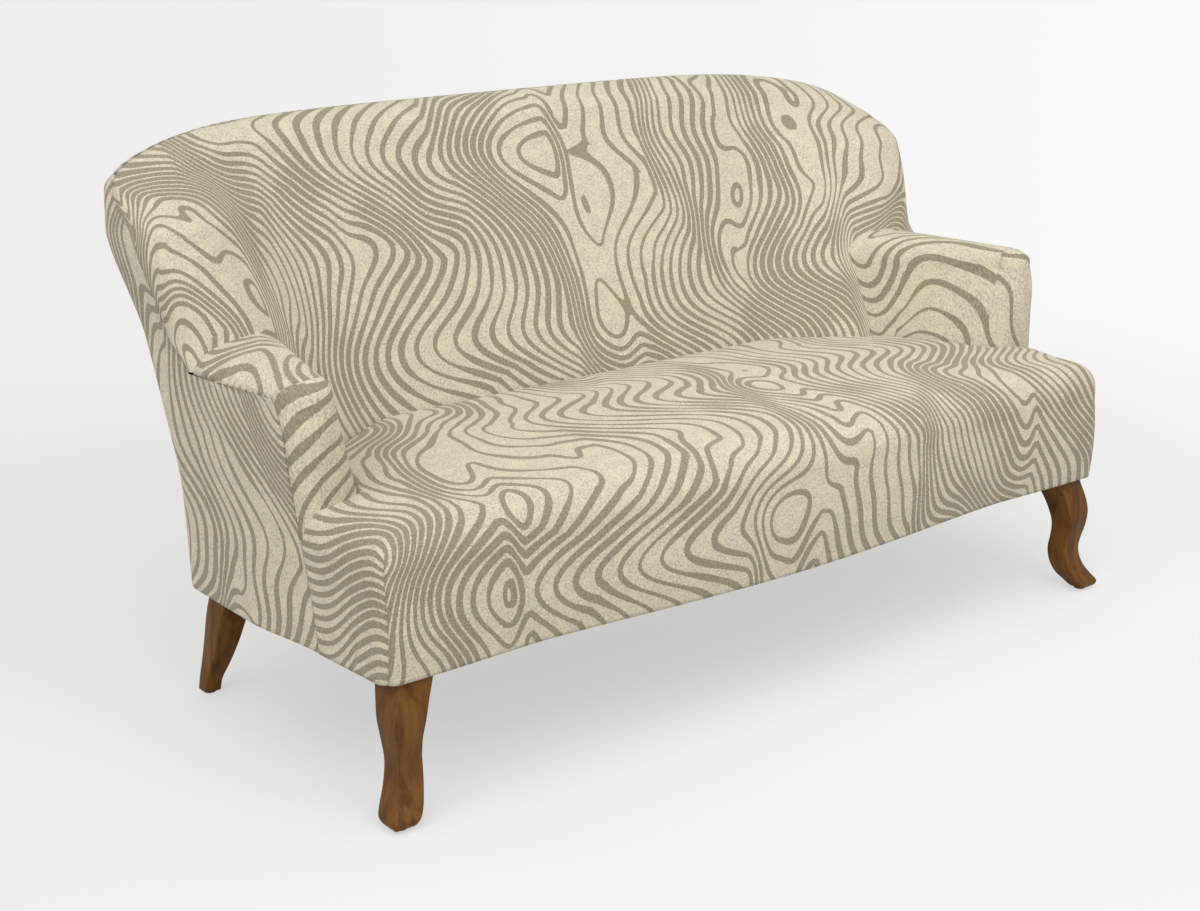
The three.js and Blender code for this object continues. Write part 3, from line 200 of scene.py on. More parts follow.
# %% [markdown]
# Each cover is a sheet of points in rows and columns. Its edges are turned in, as a sewn edge is, so that
# two covers that meet leave the fine shadow of a seam between them. Beside its place, every point gets a
# place on the flat cloth, from lengths measured along the rows and columns, and the distance to the nearest
# seam.

# %% Places, lengths and faces of a grid
EDGE_RADIUS, EDGE_HEM, EDGE_WIDTH = 0.0010, 0.009, 0.010


def placed(points):
    """From the drawing's millimetres to the model's metres."""
    return np.asarray(points, float) * MM + np.array([0, shift_y, 0])


def unit(v):
    return v / np.maximum(np.linalg.norm(v, axis=-1, keepdims=True), 1e-12)


def walked(points, axis):
    lengths = np.linalg.norm(np.diff(points, axis=axis), axis=2)
    start = np.zeros_like(np.take(lengths, [0], axis=axis))
    return np.concatenate([start, np.cumsum(lengths, axis=axis)], axis=axis)


def grid_normals(points):
    across = np.gradient(points, axis=0)
    along = np.gradient(points, axis=1)
    return unit(np.cross(across, along))


def grid_quads(rows, cols, flip=False):
    index = np.arange(rows * cols).reshape(rows, cols)
    a, b, c, d = index[:-1, :-1], index[1:, :-1], index[1:, 1:], index[:-1, 1:]
    return np.stack([a, d, c, b] if flip else [a, b, c, d], axis=-1).reshape(-1, 4)


def ring_quads(rings, count):
    """Faces between rings of points, where each ring closes on itself."""
    index = np.arange(rings * count).reshape(rings, count)
    after = np.roll(index, -1, axis=1)
    return np.stack([index[:-1], after[:-1], after[1:], index[1:]], axis=-1).reshape(-1, 4).tolist()


# %% Objects from points and faces
def added(name, data):
    piece = bpy.data.objects.new(name, data)
    bpy.context.scene.collection.objects.link(piece)
    return piece


def mesh_piece(name, verts, faces, flat_faces=0):
    """A smooth piece, whose last faces can be kept flat."""
    mesh = bpy.data.meshes.new(name)
    mesh.from_pydata([tuple(v) for v in verts], [], faces)
    mesh.polygons.foreach_set("use_smooth", [True] * (len(faces) - flat_faces) + [False] * flat_faces)
    return added(name, mesh)


def cloth_piece(name, verts, faces, loops_uv, seam):
    piece = mesh_piece(name, verts, faces)
    layer = piece.data.uv_layers.new(name="cloth")
    layer.data.foreach_set("uv", np.asarray(loops_uv, np.float32).reshape(-1))
    mark = piece.data.attributes.new("seam", "FLOAT", "POINT")
    mark.data.foreach_set("value", np.asarray(seam, np.float32))
    return piece


# %% Turn a grid of points into a sewn cover
def turned_edge(points, normals, flat, first):
    """Adds rows that curl inwards along the first or last row of a grid."""
    order = slice(None) if first else slice(None, None, -1)
    p, n, f = points[order], normals[order], flat[order]
    outward = p[0] - p[1]
    length = np.linalg.norm(outward, axis=1, keepdims=True)
    outward = unit(outward)
    square = 1 - np.sum(outward * unit(np.gradient(p[0], axis=0)), axis=1, keepdims=True) ** 2
    reach = np.minimum(EDGE_RADIUS, 0.8 * length) * np.clip(2 * square, 0, 1)
    base = p[0] - outward * reach
    grow = unit(f[0] - f[1])
    rows, flats = [], []
    for degrees in (90, 60, 30):
        a = math.radians(degrees)
        rows.append(base + outward * reach * math.sin(a) - n[0] * reach * (1 - math.cos(a)))
        flats.append(f[0] + grow * EDGE_RADIUS * a)
    rows.insert(0, rows[0] - n[0] * EDGE_HEM * np.clip(2 * reach / EDGE_RADIUS - 1, 0, 1))
    flats.insert(0, flats[0] + grow * EDGE_HEM)
    p = np.concatenate([np.array(rows), base[None], p[1:]])
    n = np.concatenate([np.repeat(n[:1], 4, axis=0), n])
    f = np.concatenate([np.array(flats), f])
    return p[order], n[order], f[order]


def sewn_cover(name, points, lay, origin=(0.0, 0.0), edges="udlr", flip=False, dart=None):
    """Makes a cover from a grid of points in millimetres and the place of each point on the flat cloth.

    dart: the cloth beyond the seam of a dart, the column of that seam, and each point's distance to it.
    """
    p = placed(points)
    n = grid_normals(p) * (-1 if flip else 1)
    beyond, dart_column, dart_gap = dart if dart else (lay, points.shape[1], np.full(points.shape[:2], 1e6))
    marks = np.repeat(dart_gap[:, :, None] * MM, 2, axis=2)
    f = np.stack([lay * MM + np.array(origin), beyond * MM + np.array(origin), marks], axis=2)
    dart_column += 4 if "d" in edges else 0
    for pair in ("lr", "du"):
        for edge in pair:
            if edge in edges:
                p, n, f = turned_edge(p, n, f, edge in "ld")
        p, n, f = (np.swapaxes(a, 0, 1) for a in (p, n, f))
    rows, cols = p.shape[:2]
    quads = grid_quads(rows, cols, flip)
    across, down = walked(p, 0), walked(p, 1)
    # The distance to the nearest seam or turned edge; the cloth is painted darker near it as seam shade.
    gap = np.minimum(1.0, f[:, :, 2, 0])
    for edge, way in zip("lrdu", (across, across[-1:] - across, down, down[:, -1:] - down)):
        if edge in edges:
            gap = np.minimum(gap, way - EDGE_WIDTH)
    side = (np.arange(cols - 1) >= dart_column).astype(int)
    side = np.repeat(np.tile(side, rows - 1), 4)
    uv = f[:, :, :2].reshape(-1, 2, 2)[quads.reshape(-1), side]
    print(name, rows, "x", cols, "points")
    return cloth_piece(name, p.reshape(-1, 3), quads.tolist(), uv, np.maximum(gap, 0).reshape(-1))


def sampled(surface, us, vs):
    return np.array([[surface(u, v) for v in vs] for u in us], float)


# %% [markdown]
# ## The inside back
#
# One wide cloth is pulled over the padding, round the top roll and over both wings to a seam at the rear.
# It runs down behind the seat, where it is tucked in. Its lower edge lifts at the ends, over the arms.

# %% Inside back cover
REAR_SEAM_DROP, LIFT_X = 18, 722


def seam_drop(y):
    """The seam between arm and side panel lies lower towards the wing."""
    return REAR_SEAM_DROP * clamp01((y - SEAM_TOP_Y) / 260)


def lowered(x, y, z):
    """The height of a point near that seam, which takes the cloth around it along."""
    along = seam_drop(y) * (1 - smooth((y - 240) / 60))
    near = smooth((z - 480) / (ARM_SEAM - 480)) if z < ARM_SEAM else 1 - smooth((z - ARM_SEAM) / 140)
    return z - along * near * smooth((abs(x) - 740) / 70)


def inside_back_low(x):
    ax = abs(x)
    lifted = mix(TUCK, ARM_SEAM - 40, smooth((ax - ARM_FOOT_X) / 60))
    return mix(lifted, ARM_SEAM + 2 * THREAD, smooth((ax - LIFT_X) / (NOTCH_X - LIFT_X)))


def inside_back_point(u, v):
    wide = WING_X * u
    z = mix(inside_back_low(wide), outline_z(wide), v)
    x = body_x(min(z, WING_WIDE)) * u
    drop = roll_drop(outline_distance(x, z), max(1.0, back_roll(z)))
    y = inside_flat_y(x, z) + drop
    return (x, y, lowered(x, y, z))


def eased(count, power=1.6):
    """Stations from 0 to 1 that lie closer together towards 1, where the cloth rolls over."""
    return [1 - (1 - i / count) ** power for i in range(count + 1)]


def mirrored(stations):
    return [-u for u in stations[:0:-1]] + stations


def across_from_middle(points):
    across = walked(points, 0)
    return across - across[len(across) // 2]


back_points = sampled(inside_back_point, mirrored(eased(170)), eased(150, 1.9))
back_down = walked(back_points, 1)
back_lay = np.stack([across_from_middle(back_points), back_down - back_down[:, -1:]], axis=-1)
inside_back = sewn_cover("inside_back", back_points, back_lay, origin=(1.3, 2.1), edges="ulr")

# %% [markdown]
# ## The outside back and the side panels
#
# The outside back is one smooth panel down to the underside. Each side panel covers the outside of the arm
# and of the wing, and wraps round the rear corner.

# %% Outside back cover
def outside_back_point(u, v):
    top_x = body_x(WING_TOP) - THREAD
    z = mix(UNDERSIDE, outline_z(top_x * u) - REAR_GAP, v)
    wide = body_x(z) - wrap_at(z) - THREAD if z < WING_TOP else top_x
    x = wide * u
    radius = rear_radius(x, z)
    drop = roll_drop(max(0.0, outline_distance(x, z)), max(1.0, radius))
    return (x, rear_y(x, z) - drop, z)


outside_points = sampled(outside_back_point, mirrored(eased(90, 1.3)), eased(120, 1.7))
outside_lay = np.stack([-across_from_middle(outside_points), walked(outside_points, 1)], axis=-1)
outside_back = sewn_cover("outside_back", outside_points, outside_lay, origin=(6.2, 0.4), flip=True)


# %% Side panels
STRIP = 0.03


def side_front_y(z):
    if z <= PANEL_TOP:
        return front_seam_y(z)
    return edge_y(body_x(z), max(z, ARM_SEAM)) + THREAD * smooth((WING_TOP - z) / 6)


def side_point(w, z):
    corner = body_x(z)
    radius = rear_radius(corner, z)
    wrap = wrap_at(z)
    turn = math.acos(1 - clamp01(wrap / radius))
    centre_x = corner - radius
    centre_y = rear_y(centre_x, z) - radius
    front = side_front_y(z)
    corner_y = max(centre_y, front)
    if w <= 1:
        share = w
        if z > PANEL_TOP:
            # The columns that end below the arm's roll go on as a narrow strip along the wing's front edge.
            start = (front - SEAM_TOP_Y) / (corner_y - SEAM_TOP_Y)
            rest = max(1 - start, 0.01)
            crowded = STRIP * w / start if w < start else STRIP + (1 - STRIP) * (w - start) / rest
            share = mix(crowded, w, smooth((z - ARM_SEAM) / 90))
        y = mix(front, corner_y, share)
        return (side_x(y, z), y, lowered(corner, y, z))
    if w <= 2:
        a = turn * (w - 1)
        y = corner_y + radius * math.sin(a)
        return (centre_x + radius * math.cos(a), y, lowered(corner, y, z))
    x = centre_x - max(0.0, wrap - radius) * (w - 2)
    lift = math.sin(turn) * radius - radius
    return (x + radius * math.cos(turn), rear_y(x, z) + lift, z)


def both_sides(name, points, lay, origin, **options):
    """The right piece, and the left one as its mirror image with the cloth laid elsewhere."""
    turned = np.array([-1, 1])
    right = sewn_cover(name + "_right", points, lay, origin, **options)
    if "dart" in options:
        beyond, *seam = options["dart"]
        options["dart"] = (beyond * turned, *seam)
    options["flip"] = not options.get("flip", False)
    elsewhere = (origin[0] + 3.7, origin[1] + 1.9)
    left = sewn_cover(name + "_left", points * np.array([-1, 1, 1]), lay * turned, elsewhere, **options)
    return [left, right]


side_ws = steps(0, 1, 60) + steps(1, 2, 24)[1:] + [2.5, 3]
arm_zs = steps(UNDERSIDE, PANEL_TOP, 80)
wing_zs = [PANEL_TOP + 0.1] + steps(ARM_SEAM, WING_TOP - THREAD, 60)
PUCKER, PUCKER_PITCH, PUCKER_DOWN, PUCKER_START, PUCKER_END = 1.9, 21.0, 24.0, -66, 180


def pucker(y):
    """From -1 to 1 along the seam below the arm's roll, and nothing at its ends."""
    ends = clamp01((y - PUCKER_START) / 30) * clamp01((PUCKER_END - y) / 40)
    return ends * math.cos(2 * math.pi * y / PUCKER_PITCH + 1.3 * math.sin(y / 48 + 0.4))


side_points = sampled(side_point, side_ws, arm_zs + wing_zs)
for row in side_points:
    for point, z in zip(row, arm_zs):
        point[0] += PUCKER * pucker(point[1]) * clamp01(1 - (PANEL_TOP - z) / PUCKER_DOWN) ** 1.6
side_across = walked(side_points, 0)
side_lay = np.stack([side_across - side_across[-1:], side_points[:, :, 2]], axis=-1)
side_panels = both_sides("side_panel", side_points, side_lay, (9.1, 1.2))

# %% [markdown]
# ## The arms
#
# An arm is a roll that starts at the wing, runs forward, and turns down over a rounded nose that stands on
# the seat. Its cover is swept: each row is the arm's profile, carried from the back to the nose and round
# it.

# %% Arm covers
ARM_REAR, ARM_FRONT = 165, -93
STRAIGHT, ROLL = 0.4, 0.75
FACE_FRONT_X, FACE_Z, CREST_REAR_X, CREST_FRONT_X = 712, 450, 722, 768
NOSE_FALL, NOSE_WIDTH, NOSE_LOW, NOSE_HIGH, NOSE_Z = 38, 85, 28, 44, 465


def arm_along(y):
    return (ARM_REAR - y) / (ARM_REAR - ARM_FRONT)


def arm_face_x(y, z):
    along = arm_along(y)
    return mix(ARM_FOOT_X, FACE_FRONT_X, along) + mix(0.2, 0.245, along) * (z - FACE_Z)


def arm_section(s, y):
    along = clamp01(arm_along(y))
    roll_foot = ARM_CREST - mix(60, NOSE_FALL, along)
    if s <= STRAIGHT:
        z = mix(TUCK, roll_foot, s / STRAIGHT)
        return arm_face_x(y, z), z
    foot_x = arm_face_x(y, roll_foot)
    crest_x = max(mix(CREST_REAR_X, CREST_FRONT_X, along), foot_x + 1)
    if s <= ROLL:
        a = (s - STRAIGHT) / (ROLL - STRAIGHT) * math.pi / 2
        return crest_x - (crest_x - foot_x) * math.cos(a), roll_foot + (ARM_CREST - roll_foot) * math.sin(a)
    a = (s - ROLL) / (1 - ROLL) * math.pi / 2
    fall = ARM_CREST - ROLL_END + seam_drop(y)
    tucked_x = NOTCH_X - 3.5 * smooth((y - 130) / 55)
    return mix(crest_x, tucked_x, math.sin(a) ** 1.15), ARM_CREST - fall * (1 - math.cos(a))


def arm_rear_y(s):
    y = ARM_REAR
    for _ in range(8):
        x, z = arm_section(s, y)
        y = inside_y(min(x, NOTCH_X), z) + 7
    return y


def nose_end(s, z):
    over = clamp01((s - STRAIGHT) / (1 - STRAIGHT))
    end = mix(z, ROLL_END, over)
    seam_z = min(end, NOSE_SEAM)
    return side_x(front_seam_y(seam_z), seam_z), front_seam_y(seam_z) - 2.0, end


def nose_bulge(a):
    return math.sin(a) if a < math.pi / 2 else math.sin(a) ** 1.25


def arm_points_at(s, ws):
    rear = arm_rear_y(s)
    blend = smooth((s - ROLL) / (1 - ROLL))
    station = mix(ARM_FRONT, SEAM_TOP_Y, blend)
    x0, z0 = arm_section(s, station)
    straight_z = min(z0, ARM_CREST - NOSE_FALL)
    x1, y1, z1 = nose_end(s, straight_z if s <= STRAIGHT else ARM_CREST - NOSE_FALL)
    width = max(0.0, nose_end(s, straight_z)[0] - x0)
    high = ((z0 + z1) / 2 - NOSE_Z) / (ARM_SEAM - NOSE_Z)
    deep = mix(NOSE_LOW, NOSE_HIGH, high) * min(1, width / NOSE_WIDTH) ** 0.8
    end_x, end_y, end_z = (max(x1, x0), station, z0) if s >= 1 else (max(x1, x0), y1, z1)
    row = []
    for w in ws:
        if w <= 1:
            y = mix(rear, station, w)
            x, z = arm_section(s, y)
            row.append((x, y, z))
        else:
            a = math.pi * (w - 1)
            t = (1 - math.cos(a)) / 2
            y = mix(station, end_y, t) - deep * nose_bulge(a)
            row.append((mix(x0, end_x, t), y, mix(z0, end_z, t)))
    return row


ALONG = 110
arm_sweep = steps(0, 1, ALONG) + steps(1, 2, 56)[1:]
arm_profile = steps(0, STRAIGHT, 34) + steps(STRAIGHT, 1, 60)[1:]
arm_points = np.array([arm_points_at(s, arm_sweep) for s in arm_profile], float)


def gathered(points, last_rows=16):
    """Raises the puckers of the seam towards the last row of a grid."""
    moved = points.copy()
    wave = np.array([pucker(y) for y in points[-1, :, 1]])
    height = PUCKER * np.linspace(0, 1, last_rows)[:, None] ** 1.6 * wave
    moved[-last_rows:] -= height[:, :, None] * grid_normals(points)[-last_rows:]
    return moved


arm_points[:, :ALONG] = gathered(arm_points[:, :ALONG])

# %% [markdown]
# The threads that run along the arm bend down over the nose, round a point low on its inner face. What is
# left over above the nose is taken up by a dart, from the roll's foot over the top to the outer corner.

# %% Cloth of the arms
BEND_Z, BEND_AHEAD, BEND_RADIUS, NOSE_RISE = 400, 190, 190, 42
DART_DEPTH, DART_WIDTH = 1.3, 2.6


def arm_cloth():
    """The cloth on both sides of the dart, the dart's column, and each point's distance to it."""
    station = ALONG - 1
    foot = arm_profile.index(STRAIGHT)
    ahead = walked(arm_points, 1)
    rise = walked(arm_points, 0) - (BEND_Z - TUCK)
    past = ahead - ahead[:, station : station + 1]
    reach = past + BEND_AHEAD
    nose_rise = np.repeat(rise[:, station : station + 1], rise.shape[1], axis=1)
    nose_reach = reach.copy()
    cap = arm_points[foot:, station:]
    height = np.clip((cap[:, :, 2] - cap[0, 0, 2]) / NOSE_FALL, 0, 1)
    nose_rise[foot:, station:] = rise[foot, station] + NOSE_RISE * np.arcsin(height)
    nose_reach[foot:, station:] = np.interp(cap[:, :, 0], cap[0, :, 0], reach[foot, station:])

    def bent(a, b, start):
        over = np.maximum(a, 0)
        angle = np.arctan2(over, np.maximum(b, 1))
        far = (over**3 + np.maximum(b, 1) ** 3) ** (1 / 3)
        return np.stack([far, -(start + np.minimum(a, 0) + BEND_RADIUS * angle)], axis=-1)

    start = ahead[:, station : station + 1] - BEND_AHEAD
    below = np.maximum(0, rise[foot, station] - rise[:, station])
    top, nose = bent(reach, rise, start), bent(nose_reach, nose_rise, start[foot, 0])
    return top, nose, station, np.abs(past) + below[:, None]


arm_lay, nose_lay, dart_column, dart_gap = arm_cloth()
groove = DART_DEPTH * np.exp(-((dart_gap / DART_WIDTH) ** 2))
arm_points += groove[:, :, None] * grid_normals(arm_points)
arm_covers = both_sides("arm_cover", arm_points, arm_lay, (14.3, 5.1), edges="udr", flip=True,
                        dart=(nose_lay, dart_column, dart_gap + 0.5))

# %% [markdown]
# ## The seat
#
# The seat is one tight cloth over springs and foam. It is crowned, its front bows in the middle, and an ear
# at each end passes under the arm. The cloth goes over the edge on both sides of a corner, and what is left
# over there is sewn off in a dart, so the pattern breaks along one short upright line.

# %% Outline of the seat
EAR_X, EAR_ROUND, EAR_ROLL, SEAT_ROLL, HIDDEN_ROLL = 808, 30, 46, 60, 22
FRONT_Y, FRONT_BOW, BOW_HALF, EAR_AHEAD = -309, 31, 520, 5
EAR_HEART, SPINE_X, SPINE_Y, SPINE_SHARE = (706, -215), 560, -90, 0.84
FRONT_N, TURN_N, EAR_N, NOSE_N, FACE_N, REAR_N = 120, 12, 22, 12, 36, 90


def front_plan_y(x):
    ax = abs(x)
    bow = FRONT_BOW * smooth(1 - ax / BOW_HALF) ** 0.7
    return FRONT_Y - bow - EAR_AHEAD * smooth((ax - BOW_HALF) / 200)


def front_face_y(x, z):
    up = clamp01((z - UNDERSIDE) / (SEAT_EDGE - SEAT_ROLL - UNDERSIDE))
    return front_plan_y(x) - 6 * math.sin(math.pi * up)


def seat_rear_y(x, z):
    return inside_flat_y(x, z) - 3 * inside_slope(x, z)


def inner_corner(z):
    x, y = ARM_FOOT_X, ARM_REAR
    for _ in range(12):
        y = seat_rear_y(x, z)
        x = arm_face_x(y, z) - 1
    return x, y


def seat_half(z):
    """Right half of the outline at a height, as (x, y, heart x, heart y, roll, lowest height, kind)."""
    points = []
    r = EAR_ROUND
    corner_x = EAR_X - r
    corner_y = front_face_y(corner_x, z) + r
    ear_x, ear_y = EAR_HEART
    for s in steps(0, 1, FRONT_N + 1):
        x = corner_x * s
        heart = (mix(x * SPINE_SHARE, ear_x, smooth(s**3)), mix(SPINE_Y, ear_y, smooth(s * s)))
        roll = mix(SEAT_ROLL, EAR_ROLL, smooth((s - 0.8) / 0.2))
        points.append((x, front_face_y(x, z), *heart, roll, UNDERSIDE, "front"))
    for i in range(1, TURN_N):
        a = i / TURN_N * math.pi / 2
        kind = "front" if i < TURN_N / 2 else "ear"
        x, y = corner_x + r * math.sin(a), corner_y - r * math.cos(a)
        points.append((x, y, *EAR_HEART, EAR_ROLL, UNDERSIDE, kind))
    seam_z = min(z, SEAT_EDGE)
    seam_y = front_seam_y(seam_z)
    seam_x = side_x(seam_y, seam_z)
    end_y = seam_y - 2 * THREAD
    for s in steps(0, 1, EAR_N + 1):
        x, y = mix(corner_x + r, seam_x, s), mix(corner_y, end_y, s)
        points.append((x, y, *EAR_HEART, EAR_ROLL, UNDERSIDE, "ear"))
    start_x = arm_face_x(ARM_FRONT, z)
    for s in steps(0.97, 0, NOSE_N + 1):
        x = mix(start_x, seam_x, s)
        roll = min(EAR_ROLL, HIDDEN_ROLL + roll_drop(seam_x - x, EAR_ROLL))
        points.append((x, mix(ARM_FRONT, end_y, s), *EAR_HEART, roll, TUCK, "hidden"))
    cx, cy = inner_corner(z)
    for s in steps(0, 1, FACE_N + 1)[1:]:
        y = mix(ARM_FRONT, cy, s)
        heart = (mix(ear_x, SPINE_X, smooth(s)), mix(ear_y, SPINE_Y, smooth(s)))
        points.append((arm_face_x(y, z) - 1, y, *heart, HIDDEN_ROLL, TUCK, "hidden"))
    for s in steps(1, 0, REAR_N + 1)[1:]:
        x = cx * s
        points.append((x, seat_rear_y(x, z), x * SPINE_SHARE, SPINE_Y, HIDDEN_ROLL, TUCK, "hidden"))
    return points


def seat_loop(z):
    right = seat_half(z)
    left = [(-p[0], p[1], -p[2], *p[3:]) for p in right[-2:0:-1]]
    return right + left


CROWN_AT = 0.42


def seat_dome_z(x, y):
    rear = inside_flat_y(min(abs(x), ARM_FOOT_X), SEAT_EDGE)
    f = clamp01((y - front_plan_y(x)) / (rear - front_plan_y(x)))
    ahead = f < CROWN_AT
    away = (CROWN_AT - f) / CROWN_AT if ahead else (f - CROWN_AT) / (1 - CROWN_AT)
    deep = 1 - (0.65 if ahead else 1) * away * away
    return SEAT_EDGE + SEAT_CROWN * deep * (1 - (abs(x) / WING_X) ** 2.6)


# %% Rings of the seat, from its lower edge over the roll to the middle
wall_shares = steps(0, 1, 34)
roll_shares = [1 - math.cos(a) for a in steps(0, math.pi / 2, 15)[1:]]
field_shares = steps(0, 0.97, 44)[1:]
spine_shares = steps(0, 1, 9)[1:]
HEM = 8


def seat_rings():
    rims = []
    for low, high in zip(seat_loop(SEAT_EDGE - SEAT_ROLL), seat_loop(SEAT_EDGE)):
        q = high if low[5] > UNDERSIDE else low
        rims.append((q, seat_dome_z(q[0], q[1]) - q[4]))
    loops = {}

    def on_wall(i, z):
        key = round(z, 1)
        if key not in loops:
            loops[key] = seat_loop(z)
        return (*loops[key][i][:2], z)

    def on_dome(x, y, drop=0.0):
        return (x, y, seat_dome_z(x, y) - drop)

    def towards(start, end, share):
        return mix(start[0], end[0], share), mix(start[1], end[1], share)

    rings = []
    for share in wall_shares:
        loops.clear()
        rings.append([on_wall(i, mix(q[5], rim_z, share)) for i, (q, rim_z) in enumerate(rims)])
    for share in roll_shares:
        ring = []
        for q, _ in rims:
            far = math.dist(q[2:4], q[:2])
            walk = min(q[4] * share, far * share * 0.5)
            ring.append(on_dome(*towards(q, q[2:4], walk / far), roll_drop(q[4] * share, q[4])))
        rings.append(ring)
    shoulder = rings[-1]
    for share in field_shares:
        rings.append([on_dome(*towards(p, q[2:4], share)) for p, (q, _) in zip(shoulder, rims)])
    inner = rings[-1]
    spine = [(min(SPINE_X, max(-SPINE_X, q[2])), SPINE_Y) for q, _ in rims]
    for share in spine_shares:
        rings.append([on_dome(*towards(p, end, share)) for p, end in zip(inner, spine)])
    hem = []
    for (q, _), p in zip(rims, rings[0]):
        hem.append((*towards(p, q[2:4], HEM / math.dist(q[2:4], p[:2])), p[2] + THREAD))
    return np.array([hem] + rings, float), [q[6] for q, _ in rims]


seat_points, seat_kinds = seat_rings()
print("seat rings:", seat_points.shape)

# %% [markdown]
# On top, the place on the flat cloth is simply the plan. From the shoulder of the roll the cloth goes on
# forwards over the front and sideways over the ears. Above the dart both answers are mixed, and along the
# dart each face keeps its own.

# %% Cloth of the seat
DART_START, DART_FADE, SEAT_DART_DEPTH, SEAT_DART_STEP = 0.030, 0.050, 0.0016, 0.004


def ring_normals(p):
    return unit(np.cross(np.roll(p, -1, axis=1) - np.roll(p, 1, axis=1), np.gradient(p, axis=0)))


def seat_cover():
    rings, count = seat_points.shape[:2]
    shoulder = len(wall_shares) + len(roll_shares)
    p = placed(seat_points)
    wall = slice(0, shoulder + 1)

    def way_down(axes):
        """Length from the shoulder down, seen along one direction or in space."""
        return walked((p * np.array(axes))[wall][::-1], 0)[::-1]

    flat = p[:, :, :2]
    front, ear = flat.copy(), flat.copy()
    front[wall, :, 1] = flat[shoulder, :, 1] - way_down((0, 1, 1))
    ear[wall, :, 0] = flat[shoulder, :, 0] + np.sign(flat[shoulder, :, 0]) * way_down((1, 0, 1))
    kinds = np.array(seat_kinds)
    first_ear = seat_kinds.index("ear")
    columns = np.arange(count)
    from_middle = np.minimum(columns, count - columns)
    turn = np.array([smooth((j - (first_ear - TURN_N)) / (2.0 * TURN_N)) for j in from_middle])
    turn[kinds == "hidden"] = 0
    turn[(kinds == "hidden") & (from_middle < first_ear + EAR_N + NOSE_N + TURN_N)] = 1
    hard = np.zeros((rings, count))
    hard[wall] = np.clip((way_down((1, 1, 1)) - DART_START) / DART_FADE, 0, 1)
    hard = hard * hard * (3 - 2 * hard)
    near = np.minimum(np.abs(columns - first_ear), np.abs(columns - (count - first_ear)))
    groove = SEAT_DART_DEPTH * np.exp(-((near / 1.1) ** 2)) * hard
    faces = ring_quads(rings, count)
    after = np.roll(columns, -1)
    is_ear = kinds == "ear"
    face_ear = (is_ear & is_ear[after]) | ((turn == 1) & (turn[after] == 1))
    share = mix(turn[np.array(faces) % count], np.tile(face_ear, rings - 1)[:, None], hard.reshape(-1)[faces])
    loops = mix(front.reshape(-1, 2)[faces], ear.reshape(-1, 2)[faces], share[:, :, None])
    loops = loops + np.array([20.15, 5.05])
    # Distances to the dart's seam and to the lower edge; the cloth is painted darker near both as seam shade.
    gap = np.where(hard > 0.3, near * SEAT_DART_STEP, 1.0)
    gap = np.minimum(gap, np.where(kinds != "hidden", p[:, :, 2] - UNDERSIDE * MM, 1.0))
    verts = p - groove[:, :, None] * ring_normals(p)
    return cloth_piece("seat", verts.reshape(-1, 3), faces, loops, gap.reshape(-1))


seat = seat_cover()
print("seat faces:", len(seat.data.polygons))

# %% [markdown]
# ## Legs
#
# The front legs are cabriole: a knee, a slim ankle and a toe that turns up, sawn from square stock with its
# edges softened. The rear legs sweep back. Both are lofted here from the same stations as the model's legs,
# with more steps and rounder edges.

# %% Loft a leg from its stations
LEG_TOP, LEG_EDGE = 230.0, 3.0


def through(stations, count):
    """Points on a smooth curve through the stations, spaced by the square roots of its chords."""
    pts = np.array(stations, float)
    ends = np.array([2 * pts[0] - pts[1], *pts, 2 * pts[-1] - pts[-2]])
    out = []
    for i in range(len(pts) - 1):
        near = ends[i : i + 4]
        knots = [0.0, *np.cumsum(np.linalg.norm(np.diff(near, axis=0), axis=1) ** 0.5)]
        for k in range(count):
            t = mix(knots[1], knots[2], k / count)
            q = list(near)
            for n in (1, 2):
                q = [mix(q[j], q[j + 1], (t - knots[j]) / (knots[j + n] - knots[j])) for j in range(4 - n)]
            out.append(mix(q[0], q[1], k / count))
    return np.array([*out, pts[-1]])


def leg_piece(name, stations, x, y, out_y, side, lean=(0.0, 0.0)):
    rings = []
    for out, inn, z in through(stations, 5):
        lean_x, lean_y = lean[0] * z / LEG_TOP, lean[1] * z / LEG_TOP
        size = out + inn
        e = min(LEG_EDGE, size / 4)
        corners = [(e, e, 180), (size - e, e, 270), (size - e, size - e, 0), (e, size - e, 90)]
        ring = []
        for cx, cy, start in corners:
            for k in range(4):
                a = math.radians(start + 30 * k)
                out_x, ahead = cx + e * math.cos(a) - inn, cy + e * math.sin(a) - inn
                ring.append((side * (x + out_x + lean_x), y + out_y * ahead + lean_y, z))
        rings.append(ring)
    p = placed(rings)
    rows, count = p.shape[:2]
    faces = ring_quads(rows, count)
    faces += [list(range(count))[::-1], list(range((rows - 1) * count, rows * count))]
    if out_y * side < 0:
        faces = [f[::-1] for f in faces]
    return mesh_piece(name, p.reshape(-1, 3), faces, flat_faces=2)


# Each station: how far the leg reaches outwards and inwards from its axis, and the height.
FRONT_STATIONS = [
    (25, 3, 4), (31, 6, 7), (34, 13, 16), (25, 24, 30), (14.5, 32, 48), (8.5, 36, 66), (6, 37, 85),
    (8, 35, 104), (13.5, 34, 133), (15, 40, 162), (9.5, 50, 192), (3, 60, 214), (-1, 66, 229.7)]
REAR_STATIONS = [
    (52, -23, 4), (50, -20, 25), (45.5, -8, 60), (41, 4, 100), (37, 14, 140), (33, 22, 170),
    (27, 29, 200), (20, 33, 229.7)]
FRONT_LEG_AT, REAR_LEG_AT, REAR_LEG_LEAN = (779, -300), (740, 270), (12, -21)
legs = {}
for side_name, side in (("left", -1), ("right", 1)):
    front_leg = leg_piece("turned_front_leg_" + side_name, FRONT_STATIONS, *FRONT_LEG_AT, -1, side)
    rear_leg = leg_piece("turned_rear_leg_" + side_name, REAR_STATIONS, *REAR_LEG_AT, 1, side, REAR_LEG_LEAN)
    legs[front_leg], legs[rear_leg] = "front_leg_" + side_name, "rear_leg_" + side_name
print("legs:", len(legs))

